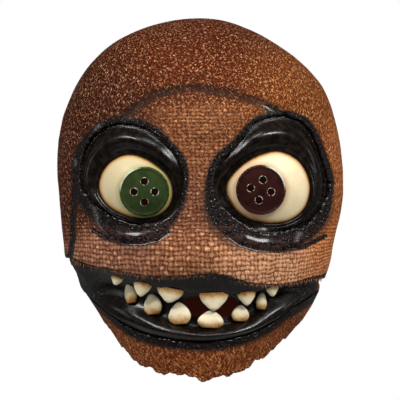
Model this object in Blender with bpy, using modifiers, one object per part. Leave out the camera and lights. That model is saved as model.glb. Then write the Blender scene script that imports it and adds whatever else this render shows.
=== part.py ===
"""Latex mask: a burlap doll's face over a glossy black under-face, with button eyes and blunt teeth.

The origin is inside the crown, the face looks along -Y, +Z is up and +X is the right side seen from the front.
"""
import math
import bpy
import bmesh
from mathutils import Matrix, Vector

# Sizes in metres.
HEAD_WIDTH = 0.240
HEAD_HEIGHT = 0.300
FACE_DEPTH = 0.113
BACK_DEPTH = 0.126
SKIN = 0.0025
LINING_GAP = 0.0010
CLEARANCE = 0.0004
HEM_JAG = 0.0022
BROW_RISE = 0.0030
GLABELLA_RISE = 0.0035
NOSE_RISE = 0.0030
CHEEK_RISE = 0.0040
EYE_LEFT_RADIUS = 0.042
EYE_RIGHT_RADIUS = 0.043
EYE_SETBACK = 0.071
EYE_WALL = 0.0025
EYE_MARGIN = 0.0022
LID_WALL = 0.0018
LID_ROLL = 0.0062
LID_TUCK = 0.0032
BUTTON_RADIUS = 0.0203
BUTTON_WALL = 0.0026
BUTTON_GAP = 0.0007
BUTTON_RIM = 0.0010
HOLE_RADIUS = 0.0029
HOLE_REACH = 0.0084
LIP_WALL = 0.0018
LIP_TUCK = 0.0032
MOUTH_DEPTH = 0.0112
LIP_ROLL = 0.0024
SLOT_WIDTH = 0.046
SLOT_HEIGHT = 0.0165
TOOTH_THICKNESS = 0.0072
UPPER_SETBACK = 0.0066
LOWER_SETBACK = 0.0058

# Shares of the head's size: drop from the crown, half width to each side, depth to the front and back, squareness.
SECTION_COLUMNS = ("drop", "left", "right", "front", "back", "square")
SECTIONS = (
    (0.000, 0.001, 0.001, 0.001, 0.001, 2.00),
    (0.022, 0.350, 0.285, 0.360, 0.340, 2.00),
    (0.067, 0.597, 0.512, 0.590, 0.575, 2.00),
    (0.112, 0.730, 0.672, 0.735, 0.700, 2.02),
    (0.156, 0.820, 0.787, 0.832, 0.794, 2.05),
    (0.202, 0.885, 0.872, 0.905, 0.865, 2.10),
    (0.292, 0.968, 0.950, 0.965, 0.952, 2.30),
    (0.403, 1.000, 0.996, 0.985, 1.000, 2.40),
    (0.517, 0.982, 0.996, 0.998, 1.000, 2.45),
    (0.627, 0.956, 0.936, 1.020, 0.944, 2.35),
    (0.700, 0.925, 0.900, 1.020, 0.881, 2.25),
    (0.783, 0.780, 0.812, 0.965, 0.794, 2.15),
    (0.840, 0.690, 0.728, 0.938, 0.730, 2.10),
    (0.917, 0.590, 0.600, 0.905, 0.660, 2.10),
    (1.000, 0.500, 0.495, 0.845, 0.587, 2.10),
)
# The torn lower edge: azimuth in degrees from the face, share of the height.
HEM_COLUMNS = ("azimuth", "drop")
HEM = (
    (-180, 0.800), (-130, 0.808), (-95, 0.832), (-80, 0.848), (-67, 0.871), (-53, 0.921), (-40, 0.954),
    (-25, 0.976), (-10, 0.986), (2, 0.997), (14, 0.989), (32, 0.954), (46, 0.922), (61, 0.885), (75, 0.852),
    (95, 0.832), (130, 0.808), (180, 0.800),
)
# The crease under the forehead.
BROW = (
    (-48, 0.320), (-32, 0.276), (-21, 0.224), (-10, 0.206), (0, 0.203), (12, 0.219), (25, 0.240), (33, 0.258), (50, 0.300),
)
# The mouth: the burlap's edges, the gum's lower edge and the line that the lower teeth stand on.
MOUTH_COLUMNS = ("azimuth", "top", "gum", "root", "bottom")
MOUTH = (
    (-112, 0.680, 0.684, 0.689, 0.692),
    (-95, 0.667, 0.690, 0.735, 0.762),
    (-75, 0.671, 0.697, 0.756, 0.787),
    (-57, 0.683, 0.709, 0.771, 0.820),
    (-38, 0.700, 0.727, 0.794, 0.863),
    (-18, 0.720, 0.751, 0.837, 0.887),
    (2, 0.716, 0.766, 0.860, 0.897),
    (22, 0.738, 0.766, 0.840, 0.879),
    (36, 0.741, 0.750, 0.797, 0.853),
    (50, 0.731, 0.739, 0.769, 0.812),
    (70, 0.727, 0.736, 0.752, 0.784),
    (90, 0.726, 0.735, 0.746, 0.764),
    (106, 0.730, 0.732, 0.735, 0.740),
)
# The black sheet's section: between which two of the mouth's lines, how far down, how deep and how far rolled out.
LIP_COLUMNS = ("line", "down", "sunk", "rolled")
LIP_PROFILE = (
    (1, 0.00, 0.00, 0.00),
    (1, 1.00, 0.10, 0.00),
    (2, 0.08, 0.80, 0.00),
    (2, 0.25, 1.00, 0.00),
    (2, 0.75, 1.00, 0.00),
    (2, 1.00, 0.45, 0.00),
    (3, 0.25, 0.00, 0.65),
    (3, 0.50, 0.00, 1.00),
    (3, 0.78, 0.00, 0.65),
    (3, 1.00, 0.00, 0.00),
)
# Reach of each outline from the eye's centre in shares of its radius, in equal steps round from the right.
LEFT_APERTURE = (0.590, 0.552, 0.543, 0.636, 0.798, 0.895, 0.914, 0.764, 0.626, 0.586, 0.598, 0.612)
LEFT_OPENING = (0.769, 0.881, 0.990, 1.193, 1.436, 1.407, 1.236, 0.876, 0.726, 0.690, 0.710, 0.752)
RIGHT_APERTURE = (0.944, 0.909, 0.819, 0.681, 0.607, 0.640, 0.737, 0.691, 0.670, 0.684, 0.788, 0.916)
RIGHT_OPENING = (1.302, 1.323, 1.498, 1.316, 0.991, 0.960, 0.949, 0.823, 0.770, 0.835, 0.942, 1.156)
# Share of the way from the eye's rim to the opening, and share of the roll's height.
LID_COLUMNS = ("out", "roll")
LID_PROFILE = ((0.00, 0.00), (0.12, 0.40), (0.30, 0.88), (0.50, 1.00), (0.75, 0.62), (1.00, 0.00))
TOOTH_COLUMNS = ("azimuth", "width", "length", "lean")
UPPER_TEETH = (
    (-37.6, 0.0125, 0.0085, 18),
    (-25.5, 0.0165, 0.0125, 12),
    (-12.8, 0.0232, 0.0125, 12),
    (6.0, 0.0250, 0.0148, -2),
    (21.2, 0.0165, 0.0115, -4),
    (33.8, 0.0125, 0.0092, -6),
)
LOWER_TEETH = (
    (-35.3, 0.0126, 0.0185, -10),
    (-23.3, 0.0170, 0.0172, -6),
    (-9.6, 0.0192, 0.0182, -4),
    (5.0, 0.0207, 0.0143, 3),
    (19.8, 0.0163, 0.0133, 3),
    (30.5, 0.0098, 0.0138, 6),
)
TOOTH_PROFILE_COLUMNS = ("along", "girth")
UPPER_TOOTH_PROFILE = ((0.00, 1.00), (0.25, 0.95), (0.50, 0.78), (0.74, 0.50), (0.92, 0.25))
LOWER_TOOTH_PROFILE = ((0.00, 0.66), (0.20, 0.93), (0.40, 1.00), (0.65, 0.80), (0.86, 0.46), (0.96, 0.22))

EYES = {
    "left": {"across": -0.383, "drop": 0.480, "radius": EYE_LEFT_RADIUS,
             "aperture": LEFT_APERTURE, "opening": LEFT_OPENING, "button": "button_green", "turn": 0,
             "gaze": (1.2, 2.9)},
    "right": {"across": 0.425, "drop": 0.477, "radius": EYE_RIGHT_RADIUS,
              "aperture": RIGHT_APERTURE, "opening": RIGHT_OPENING, "button": "button_maroon", "turn": 11,
              "gaze": (-2.2, 2.1)},
}

# Azimuths of the head's columns: from, to, how many.
HEAD_COLUMNS = ((-60, 60, 23), (60, 120, 8), (120, 240, 6), (240, 300, 8))
UPPER_ROWS = 19
LOWER_ROWS = 6
LEVEL_DROP = 0.740
EYE_STEPS = 24
BALL_RINGS = 4
BUTTON_STEPS = 18
TOOTH_STEPS = 8


def clear_scene():
    for item in list(bpy.data.objects):
        bpy.data.objects.remove(item, do_unlink=True)


def make_collection(name):
    group = bpy.data.collections.new(name)
    bpy.context.scene.collection.children.link(group)
    return group


def make_material(name, color, roughness):
    material = bpy.data.materials.new(name)
    material.use_nodes = True
    shader = material.node_tree.nodes["Principled BSDF"]
    shader.inputs["Base Color"].default_value = (*color, 1.0)
    shader.inputs["Roughness"].default_value = roughness
    material.diffuse_color = (*color, 1.0)
    return material


def make_mesh(name, points, faces, group, material=None):
    mesh = bpy.data.meshes.new(name)
    mesh.from_pydata([tuple(point) for point in points], [], faces)
    mesh.validate()
    item = bpy.data.objects.new(name, mesh)
    group.objects.link(item)
    if material:
        mesh.materials.append(material)
    return item


def apply_modifiers(item):
    """Replaces the object's mesh with its shape after its modifiers."""
    depsgraph = bpy.context.evaluated_depsgraph_get()
    mesh = bpy.data.meshes.new_from_object(item.evaluated_get(depsgraph))
    item.modifiers.clear()
    item.data = mesh


def thicken(item, wall, grow=0.0):
    """Gives an open surface a wall inwards; grow adds a skin of clearance on both sides."""
    shell = item.modifiers.new("wall", "SOLIDIFY")
    shell.thickness = wall + 2 * grow
    shell.offset = -1 + 2 * grow / (wall + 2 * grow)
    shell.use_even_offset = False
    apply_modifiers(item)


def cut(item, cutter):
    knife = item.modifiers.new("cut", "BOOLEAN")
    knife.operation = "DIFFERENCE"
    knife.solver = "EXACT"
    knife.object = cutter
    apply_modifiers(item)


def spread(points):
    """The volume of the box round some points."""
    places = [point.co for point in points]
    spans = [max(place[axis] for place in places) - min(place[axis] for place in places) for axis in range(3)]
    return spans[0] * spans[1] * spans[2]


def keep_largest(item):
    """Removes the loose scraps that a cut leaves."""
    shape = bmesh.new()
    shape.from_mesh(item.data)
    left = set(shape.verts)
    groups = []
    while left:
        seed = left.pop()
        found = [seed]
        queue = [seed]
        while queue:
            for edge in queue.pop().link_edges:
                for point in edge.verts:
                    if point in left:
                        left.remove(point)
                        found.append(point)
                        queue.append(point)
        groups.append(found)
    groups.sort(key=spread)
    scraps = [point for found in groups[:-1] for point in found]
    bmesh.ops.delete(shape, geom=scraps, context="VERTS")
    shape.to_mesh(item.data)
    shape.free()


def face_outwards(item):
    shape = bmesh.new()
    shape.from_mesh(item.data)
    bmesh.ops.recalc_face_normals(shape, faces=shape.faces)
    shape.to_mesh(item.data)
    shape.free()


def grid_faces(rows, columns, closed):
    faces = []
    for row in range(rows - 1):
        for column in range(columns if closed else columns - 1):
            after = (column + 1) % columns
            faces.append((row * columns + column, row * columns + after,
                          (row + 1) * columns + after, (row + 1) * columns + column))
    return faces


def cubic(table, column, key):
    """Reads a smooth curve through a table's rows; the first column is the key."""
    last = len(table) - 1
    key = min(max(key, table[0][0]), table[last][0])
    place = 0
    while place < last - 1 and key > table[place + 1][0]:
        place += 1
    span = table[place + 1][0] - table[place][0]
    share = (key - table[place][0]) / span
    slopes = []
    for row in (place, place + 1):
        low = max(row - 1, 0)
        high = min(row + 1, last)
        rise = table[high][column] - table[low][column]
        slopes.append(rise / (table[high][0] - table[low][0]) * span)
    square = share * share
    cube = square * share
    return ((2 * cube - 3 * square + 1) * table[place][column] + (cube - 2 * square + share) * slopes[0]
            + (3 * square - 2 * cube) * table[place + 1][column] + (cube - square) * slopes[1])


def around(values, angle):
    """Reads a smooth closed curve given in equal steps round the circle."""
    count = len(values)
    place = angle / 360 * count
    step = math.floor(place)
    share = place - step
    before, here, there, after = [values[(step + shift) % count] for shift in (-1, 0, 1, 2)]
    return (here + share * (there - before) / 2
            + share ** 2 * (before - 2.5 * here + 2 * there - after / 2)
            + share ** 3 * (1.5 * (here - there) + (after - before) / 2))


def hill(distance, width):
    return math.exp(-(distance / width) ** 2)


def fade(distance, reach, soft):
    """One inside the reach, falling to zero over the soft edge."""
    share = min(max((reach + soft - abs(distance)) / soft, 0), 1)
    return share * share * (3 - 2 * share)


def root_table():
    """The sections keyed by the square root of the drop, so that the crown comes out round."""
    return [(math.sqrt(row[0]),) + row[1:] for row in SECTIONS]


ROOT_SECTIONS = root_table()


def relief(azimuth, drop):
    """How far the sculpted forms stand out from the plain head."""
    brow = cubic(BROW, 1, azimuth)
    rise = BROW_RISE * hill(drop - brow + 0.040, 0.040) * fade(azimuth, 30, 24)
    rise += GLABELLA_RISE * hill(drop - 0.300, 0.060) * hill(azimuth - 1, 15)
    rise += NOSE_RISE * hill(azimuth - 2, 8) * fade(drop - 0.54, 0.10, 0.10)
    rise += CHEEK_RISE * hill(drop - 0.672, 0.062) * fade(azimuth + 3, 36, 34)
    return rise


def head_point(azimuth, drop):
    """The outer surface at an azimuth in degrees and a share of the height."""
    key = math.sqrt(max(drop, 0))
    left, right, front, back, square = [cubic(ROOT_SECTIONS, column, key) for column in range(1, 6)]
    across = max(right if azimuth > 0 else left, 0.0001) * HEAD_WIDTH / 2
    along = max(front, 0.0001) * FACE_DEPTH
    if abs(azimuth) > 90:
        along = max(back, 0.0001) * BACK_DEPTH
    sine = math.sin(math.radians(azimuth))
    cosine = math.cos(math.radians(azimuth))
    reach = ((abs(sine) / across) ** square + (abs(cosine) / along) ** square) ** (-1 / square)
    reach += relief(azimuth, drop) * min(drop / 0.05, 1)
    return Vector((reach * sine, -reach * cosine, SKIN - drop * HEAD_HEIGHT))


def head_normal(azimuth, drop):
    turn = head_point(azimuth + 1, drop) - head_point(azimuth - 1, drop)
    fall = head_point(azimuth, drop + 0.006) - head_point(azimuth, drop - 0.006)
    return fall.cross(turn).normalized()


def sunk_point(azimuth, drop, depth):
    return head_point(azimuth, drop) - head_normal(azimuth, drop) * depth


def azimuth_at(across, drop):
    """The azimuth on the face where the surface is this far across."""
    low = 0.0
    high = 89.0
    side = 1 if across > 0 else -1
    for _ in range(24):
        middle = (low + high) / 2
        if abs(head_point(side * middle, drop).x) < abs(across):
            low = middle
        else:
            high = middle
    return side * low


def hem_drop(azimuth):
    jag = math.sin(azimuth * 0.31 + 1.1) + 0.8 * math.sin(azimuth * 0.53 + 0.4) + 0.5 * math.sin(azimuth * 0.97)
    return cubic(HEM, 1, azimuth) + HEM_JAG / HEAD_HEIGHT * jag * 0.5 * fade(azimuth, 150, 25)


def head_columns():
    """Azimuths round the head, closer together on the face."""
    angles = [low + (high - low) * step / count for low, high, count in HEAD_COLUMNS for step in range(count)]
    return [angle - 360 if angle > 180 else angle for angle in angles]


def mouth_columns(reach=0):
    """The same azimuths across the mouth, so that its facets lie along the skin's."""
    first = MOUTH[0][0] - reach
    last = MOUTH[-1][0] + reach
    return [first] + sorted(angle for angle in head_columns() if first + 2 < angle < last - 2) + [last]


def eye_centre(eye):
    return Vector((eye["across"] * HEAD_WIDTH / 2, -EYE_SETBACK, SKIN - eye["drop"] * HEAD_HEIGHT))


def outline_point(eye, outline, angle, extra=0.0):
    """A point of an eye's outline seen from the front, as x and z."""
    reach = around(eye[outline], angle) * eye["radius"] + extra
    centre = eye_centre(eye)
    return (centre.x + reach * math.cos(math.radians(angle)), centre.z + reach * math.sin(math.radians(angle)))


def aperture_direction(eye, angle):
    """The direction from the eye's centre to its visible rim."""
    across, up = outline_point(eye, "aperture", angle)
    centre = eye_centre(eye)
    shell = eye["radius"] + CLEARANCE + LID_WALL
    flat = Vector((across - centre.x, 0, up - centre.z)) / shell
    flat.y = -math.sqrt(max(1 - flat.length_squared, 0.01))
    return flat.normalized()


def swing(direction, extra):
    """Turns a direction away from straight ahead by an extra angle in radians."""
    ahead = Vector((0, -1, 0))
    axis = ahead.cross(direction).normalized()
    return Matrix.Rotation(ahead.angle(direction) + extra, 3, axis) @ ahead


def row_drop(row, azimuth):
    """Level rows down to the mouth, then rows that spread out to the torn edge."""
    if row <= UPPER_ROWS:
        return LEVEL_DROP * (row / UPPER_ROWS) ** 1.25
    return LEVEL_DROP + (hem_drop(azimuth) - LEVEL_DROP) * (row - UPPER_ROWS) / LOWER_ROWS


def build_skin(group, cutters, material):
    columns = head_columns()
    points = [Vector((0, 0, SKIN))]
    for row in range(1, UPPER_ROWS + LOWER_ROWS + 1):
        for azimuth in columns:
            points.append(head_point(azimuth, row_drop(row, azimuth)))
    count = len(columns)
    faces = [(0, 1 + step, 1 + (step + 1) % count) for step in range(count)]
    faces += [tuple(1 + index for index in face) for face in grid_faces(UPPER_ROWS + LOWER_ROWS, count, True)]
    skin = make_mesh("head_skin", points, faces, group, material)
    face_outwards(skin)
    thicken(skin, SKIN)
    for side in EYES:
        cut(skin, eye_cutter(side, cutters))
    cut(skin, mouth_cutter(cutters))
    keep_largest(skin)
    return skin


def eye_cutter(side, cutters):
    eye = EYES[side]
    back = -EYE_SETBACK * 0.35
    front = -FACE_DEPTH * 1.5
    points = []
    for depth in (back, front):
        for step in range(EYE_STEPS):
            across, up = outline_point(eye, "opening", 360 * step / EYE_STEPS)
            points.append((across, depth, up))
    faces = grid_faces(2, EYE_STEPS, True)
    faces += [tuple(range(EYE_STEPS)), tuple(range(2 * EYE_STEPS - 1, EYE_STEPS - 1, -1))]
    cutter = make_mesh("eye_opening_" + side, points, faces, cutters)
    face_outwards(cutter)
    return cutter


def mouth_cutter(cutters):
    """A bent bar as tall as the mouth, from well inside the head to well outside it."""
    points = []
    columns = mouth_columns()
    for azimuth in columns:
        for edge, scale in ((1, 0.6), (1, 1.3), (4, 1.3), (4, 0.6)):
            point = head_point(azimuth, cubic(MOUTH, edge, azimuth))
            points.append((point.x * scale, point.y * scale, point.z))
    faces = grid_faces(len(columns), 4, True)
    end = 4 * len(columns) - 4
    faces += [(0, 1, 2, 3), (end + 3, end + 2, end + 1, end)]
    cutter = make_mesh("mouth_opening", points, faces, cutters)
    face_outwards(cutter)
    return cutter


def build_eyelid(side, group, material):
    """The black surround: a collar round the eye, the roll, and a flange behind the skin."""
    eye = EYES[side]
    centre = eye_centre(eye)
    shell = eye["radius"] + CLEARANCE + LID_WALL
    collar = 1.3 * EYE_MARGIN / eye["radius"]
    rings = [[] for _ in range(len(LID_PROFILE) + 2)]
    for step in range(EYE_STEPS):
        angle = 360 * step / EYE_STEPS
        direction = aperture_direction(eye, angle)
        rings[0].append(centre + direction * shell)
        inner = centre + swing(direction, collar) * shell
        across, up = outline_point(eye, "opening", angle)
        drop = (SKIN - up) / HEAD_HEIGHT
        edge = sunk_point(azimuth_at(across, drop), drop, SKIN + LINING_GAP)
        normal = (direction + head_normal(azimuth_at(across, drop), drop)).normalized()
        upper = 0.30 + 0.70 * fade(angle - 100, 50, 60)
        reach = min((edge - inner).length / 0.022, 1)
        for index, (out, roll) in enumerate(LID_PROFILE):
            rise = LID_ROLL * upper * reach * roll
            rings[index + 1].append(inner.lerp(edge, out) + normal * rise)
        across, up = outline_point(eye, "opening", angle, LID_TUCK)
        drop = (SKIN - up) / HEAD_HEIGHT
        rings[-1].append(sunk_point(azimuth_at(across, drop), drop, SKIN + LINING_GAP))
    points = [point for ring in rings for point in ring]
    lid = make_mesh("eyelid_" + side, points, grid_faces(len(rings), EYE_STEPS, True), group, material)
    face_forwards(lid)
    thicken(lid, LID_WALL)
    return lid


def face_forwards(item):
    """Turns an open sheet's faces so that the front side looks away from the head."""
    shape = bmesh.new()
    shape.from_mesh(item.data)
    bmesh.ops.recalc_face_normals(shape, faces=shape.faces)
    lean = sum(face.normal.y * face.calc_area() for face in shape.faces)
    if lean > 0:
        bmesh.ops.reverse_faces(shape, faces=shape.faces)
    shape.to_mesh(item.data)
    shape.free()


def build_eyeball(side, group, material):
    eye = EYES[side]
    centre = eye_centre(eye)
    margin = EYE_MARGIN / eye["radius"]
    rings = BALL_RINGS
    points = [centre + Vector((0, -eye["radius"], 0))]
    for ring in range(1, rings + 1):
        for step in range(EYE_STEPS):
            rim = swing(aperture_direction(eye, 360 * step / EYE_STEPS), margin)
            ahead = Vector((0, -1, 0))
            part = Matrix.Rotation(ahead.angle(rim) * ring / rings, 3, ahead.cross(rim).normalized()) @ ahead
            points.append(centre + part * eye["radius"])
    faces = [(0, 1 + step, 1 + (step + 1) % EYE_STEPS) for step in range(EYE_STEPS)]
    faces += [tuple(1 + index for index in face) for face in grid_faces(rings, EYE_STEPS, True)]
    ball = make_mesh("eyeball_" + side, points, faces, group, material)
    face_forwards(ball)
    thicken(ball, EYE_WALL)
    return ball


def button_profile(radius):
    """The button's half section: distance from its axis and height along it, on a dome of this radius."""
    inner = radius + BUTTON_GAP
    flat = BUTTON_RADIUS * 0.80
    lip = BUTTON_RADIUS * 0.88
    face = inner + BUTTON_WALL
    back = [(0.0, inner), (BUTTON_RADIUS * 0.5, math.sqrt(inner ** 2 - (BUTTON_RADIUS * 0.5) ** 2)),
            (BUTTON_RADIUS * 0.97, math.sqrt(inner ** 2 - (BUTTON_RADIUS * 0.97) ** 2))]
    rim = math.sqrt(face ** 2 - BUTTON_RADIUS ** 2)
    front = [(BUTTON_RADIUS, rim - BUTTON_WALL * 0.55), (BUTTON_RADIUS, rim - BUTTON_RIM * 0.2),
             (lip, math.sqrt(face ** 2 - lip ** 2) + BUTTON_RIM * 0.9),
             (flat, math.sqrt(face ** 2 - flat ** 2)),
             (BUTTON_RADIUS * 0.4, math.sqrt(face ** 2 - (BUTTON_RADIUS * 0.4) ** 2)), (0.0, face)]
    return back + front


def gaze(eye):
    """Turns a piece about the eye's centre, sideways and then down."""
    centre = eye_centre(eye)
    sideways, down = eye["gaze"]
    turn = (Matrix.Rotation(math.radians(sideways), 4, "Z")
            @ Matrix.Rotation(math.radians(down), 4, "X"))
    return Matrix.Translation(centre) @ turn @ Matrix.Translation(-centre)


def build_button(side, group, material):
    eye = EYES[side]
    profile = button_profile(eye["radius"])
    mesh = bpy.data.meshes.new(eye["button"])
    edges = [(index, index + 1) for index in range(len(profile) - 1)]
    mesh.from_pydata([(across, 0, height) for across, height in profile], edges, [])
    mesh.materials.append(material)
    button = bpy.data.objects.new(eye["button"], mesh)
    group.objects.link(button)
    lathe = button.modifiers.new("lathe", "SCREW")
    lathe.axis = "Z"
    lathe.steps = BUTTON_STEPS
    lathe.render_steps = BUTTON_STEPS
    lathe.use_merge_vertices = True
    lathe.merge_threshold = 0.00005
    apply_modifiers(button)
    place = Matrix.Translation(eye_centre(eye)) @ Matrix.Rotation(math.radians(90), 4, "X")
    button.data.transform(gaze(eye) @ place)
    face_outwards(button)
    return button


def hole_cutter(side, cutters):
    """Four pins that pierce the button and the eye behind it."""
    eye = EYES[side]
    centre = eye_centre(eye)
    shape = bmesh.new()
    for hole in range(4):
        angle = math.radians(90 * hole - eye["turn"])
        place = Vector((centre.x + HOLE_REACH * math.cos(angle), centre.y - eye["radius"],
                        centre.z + HOLE_REACH * math.sin(angle)))
        bmesh.ops.create_cone(
            shape, cap_ends=True, segments=8, radius1=HOLE_RADIUS, radius2=HOLE_RADIUS,
            depth=4 * (EYE_WALL + BUTTON_WALL),
            matrix=Matrix.Translation(place) @ Matrix.Rotation(math.radians(90), 4, "X"))
    mesh = bpy.data.meshes.new("button_holes_" + side)
    shape.to_mesh(mesh)
    shape.free()
    mesh.transform(gaze(eye))
    cutter = bpy.data.objects.new("button_holes_" + side, mesh)
    cutters.objects.link(cutter)
    return cutter


def lip_point(azimuth, line, down, sunk, rolled):
    """A point of the black sheet behind the mouth opening."""
    above = cubic(MOUTH, line, azimuth)
    below = cubic(MOUTH, line + 1, azimuth)
    tall = (cubic(MOUTH, 4, azimuth) - cubic(MOUTH, 1, azimuth)) * HEAD_HEIGHT
    open_share = min(max((tall - 0.004) / 0.026, 0), 1)
    flange = SKIN + LINING_GAP
    front_share = 0.1 + 0.9 * fade(azimuth + 3, 42, 26)
    sunk = sunk * (MOUTH_DEPTH - flange) * front_share
    rolled = rolled * (LIP_ROLL * front_share + flange)
    depth = flange + open_share * (sunk - rolled)
    return sunk_point(azimuth, above + down * (below - above), depth)


def lip_sheet(name, group, material=None):
    points = []
    columns = mouth_columns(3)
    tuck = LIP_TUCK / HEAD_HEIGHT
    for azimuth in columns:
        points.append(sunk_point(azimuth, cubic(MOUTH, 1, azimuth) - tuck, SKIN + LINING_GAP))
        points += [lip_point(azimuth, *row) for row in LIP_PROFILE]
        points.append(sunk_point(azimuth, cubic(MOUTH, 4, azimuth) + tuck, SKIN + LINING_GAP))
    sheet = make_mesh(name, points, grid_faces(len(columns), len(LIP_PROFILE) + 2, False), group, material)
    face_forwards(sheet)
    return sheet


def build_lips(group, cutters, material):
    lips = lip_sheet("lips", group, material)
    thicken(lips, LIP_WALL)
    cut(lips, slot_cutter(cutters))
    return lips


def slot_cutter(cutters):
    """The wearer breathes and sees through this slot between the teeth."""
    height = SKIN - HEAD_HEIGHT * 0.800
    points = []
    half = SLOT_HEIGHT / 2
    for depth in (-FACE_DEPTH * 0.5, -FACE_DEPTH * 1.5):
        for step in range(16):
            angle = math.radians(360 * (step + 0.5) / 16)
            side = 1 if math.cos(angle) > 0 else -1
            across = side * (SLOT_WIDTH / 2 - half) + half * math.cos(angle)
            points.append((0.0085 + across, depth, height + half * math.sin(angle)))
    faces = grid_faces(2, 16, True)
    faces += [tuple(range(16)), tuple(range(31, 15, -1))]
    cutter = make_mesh("breathing_slot", points, faces, cutters)
    face_outwards(cutter)
    return cutter


def build_tooth(name, row, profile, downwards, group, material):
    """A blunt tooth: oval sections from the root to the rounded tip."""
    azimuth, width, length, lean = row
    root = cubic(MOUTH, 2 if downwards else 3, azimuth)
    outward = head_normal(azimuth, root)
    outward = Vector((outward.x, outward.y, 0)).normalized()
    up = Vector((0, 0, -1 if downwards else 1))
    up = Matrix.Rotation(math.radians(lean), 3, -outward) @ up
    across = up.cross(outward).normalized()
    base = sunk_point(azimuth, root, UPPER_SETBACK if downwards else LOWER_SETBACK)
    points = []
    for along, girth in profile:
        for step in range(TOOTH_STEPS):
            angle = math.radians(360 * step / TOOTH_STEPS)
            points.append(base + up * along * length
                          + across * math.cos(angle) * girth * width / 2
                          + outward * math.sin(angle) * (0.35 + 0.65 * girth) * TOOTH_THICKNESS / 2)
    rows = len(profile)
    points.append(base + up * length)
    points.append(base)
    tip = rows * TOOTH_STEPS
    faces = grid_faces(rows, TOOTH_STEPS, True)
    for step in range(TOOTH_STEPS):
        after = (step + 1) % TOOTH_STEPS
        faces.append((tip - TOOTH_STEPS + step, tip - TOOTH_STEPS + after, tip))
        faces.append((after, step, tip + 1))
    tooth = make_mesh(name, points, faces, group, material)
    face_outwards(tooth)
    return tooth


def build_teeth(group, cutters, material):
    """Every tooth is cut to sit against the black sheet with the clearance."""
    seat = lip_sheet("tooth_seat", cutters)
    thicken(seat, LIP_WALL, CLEARANCE)
    for index, row in enumerate(UPPER_TEETH):
        tooth = build_tooth(f"upper_tooth_{index + 1}", row, UPPER_TOOTH_PROFILE, True, group, material)
        cut(tooth, seat)
        keep_largest(tooth)
    for index, row in enumerate(LOWER_TEETH):
        tooth = build_tooth(f"lower_tooth_{index + 1}", row, LOWER_TOOTH_PROFILE, False, group, material)
        cut(tooth, seat)
        keep_largest(tooth)


def build_eye(side, group, cutters, materials):
    build_eyelid(side, group, materials["black"])
    ball = build_eyeball(side, group, materials["cream"])
    button = build_button(side, group, materials[EYES[side]["button"]])
    holes = hole_cutter(side, cutters)
    cut(ball, holes)
    cut(button, holes)


def main():
    clear_scene()
    group = make_collection("latex_mask")
    cutters = make_collection("cutters")
    materials = {
        "burlap": make_material("burlap_latex", (0.24, 0.10, 0.045), 0.80),
        "black": make_material("glossy_black_latex", (0.010, 0.008, 0.007), 0.25),
        "cream": make_material("cream_latex", (0.74, 0.62, 0.40), 0.45),
        "tooth": make_material("tooth_latex", (0.78, 0.66, 0.44), 0.40),
        "button_green": make_material("green_latex", (0.030, 0.050, 0.018), 0.30),
        "button_maroon": make_material("maroon_latex", (0.040, 0.014, 0.012), 0.30),
    }
    build_skin(group, cutters, materials["burlap"])
    for side in EYES:
        build_eye(side, group, cutters, materials)
    build_lips(group, cutters, materials["black"])
    build_teeth(group, cutters, materials["tooth"])
    for cutter in cutters.objects:
        cutter.hide_render = True
        cutter.display_type = "WIRE"


main()
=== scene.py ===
import math

import bpy
import numpy as np
from mathutils import Matrix, Vector


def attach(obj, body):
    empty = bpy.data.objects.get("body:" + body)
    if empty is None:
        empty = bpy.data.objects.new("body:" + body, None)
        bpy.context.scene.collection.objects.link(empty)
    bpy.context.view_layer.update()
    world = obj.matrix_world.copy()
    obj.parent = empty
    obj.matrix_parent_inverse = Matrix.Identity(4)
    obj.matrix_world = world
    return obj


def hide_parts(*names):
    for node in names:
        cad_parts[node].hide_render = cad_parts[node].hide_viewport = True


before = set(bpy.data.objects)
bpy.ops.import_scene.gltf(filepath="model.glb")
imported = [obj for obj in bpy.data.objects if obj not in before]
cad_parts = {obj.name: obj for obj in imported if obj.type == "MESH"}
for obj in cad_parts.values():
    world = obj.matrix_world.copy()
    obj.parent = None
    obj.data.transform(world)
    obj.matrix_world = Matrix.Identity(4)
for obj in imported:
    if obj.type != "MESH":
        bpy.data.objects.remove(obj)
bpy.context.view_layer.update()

# Sizes in metres, as in the frame.
HEAD_WIDTH = 0.240
HEAD_HEIGHT = 0.300
FACE_DEPTH = 0.113
BACK_DEPTH = 0.126
SKIN = 0.0025
LINING_GAP = 0.0010
LINING_FLAP = 0.058
FLANGE = SKIN + LINING_GAP
CLEARANCE = 0.0004
HEM_JAG = 0.0022
BROW_RISE = 0.0030
GLABELLA_RISE = 0.0035
NOSE_RISE = 0.0030
CHEEK_RISE = 0.0040
EYE_SETBACK = 0.071
EYE_WALL = 0.0025
EYE_MARGIN = 0.0022
LID_WALL = 0.0018
LID_ROLL = 0.0062
LID_TUCK = 0.0032
BUTTON_RADIUS = 0.0203
BUTTON_WALL = 0.0026
BUTTON_GAP = 0.0007
BUTTON_RIM = 0.0010
HOLE_RADIUS = 0.0029
HOLE_REACH = 0.0084
LIP_WALL = 0.0018
LIP_TUCK = 0.0032
MOUTH_DEPTH = 0.0112
LIP_ROLL = 0.0036
SLOT_WIDTH = 0.046
SLOT_HEIGHT = 0.0165
SLOT_OFFSET = 0.0085
SLOT_DROP = 0.800
TOOTH_THICKNESS = 0.0072
UPPER_SETBACK = 0.0066
LOWER_SETBACK = 0.0058

# Drops of the last level row and of the uppermost place with a sound direction outwards.
LAST_LEVEL = 0.62
TOP_DROP = 0.0065
# The skin's grid: metres round the head in a degree of azimuth, and the furthest that a point
# moves in one go to get onto an edge.
METRES_A_DEGREE = 0.002
MOST_MOVE = 0.0008

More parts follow.
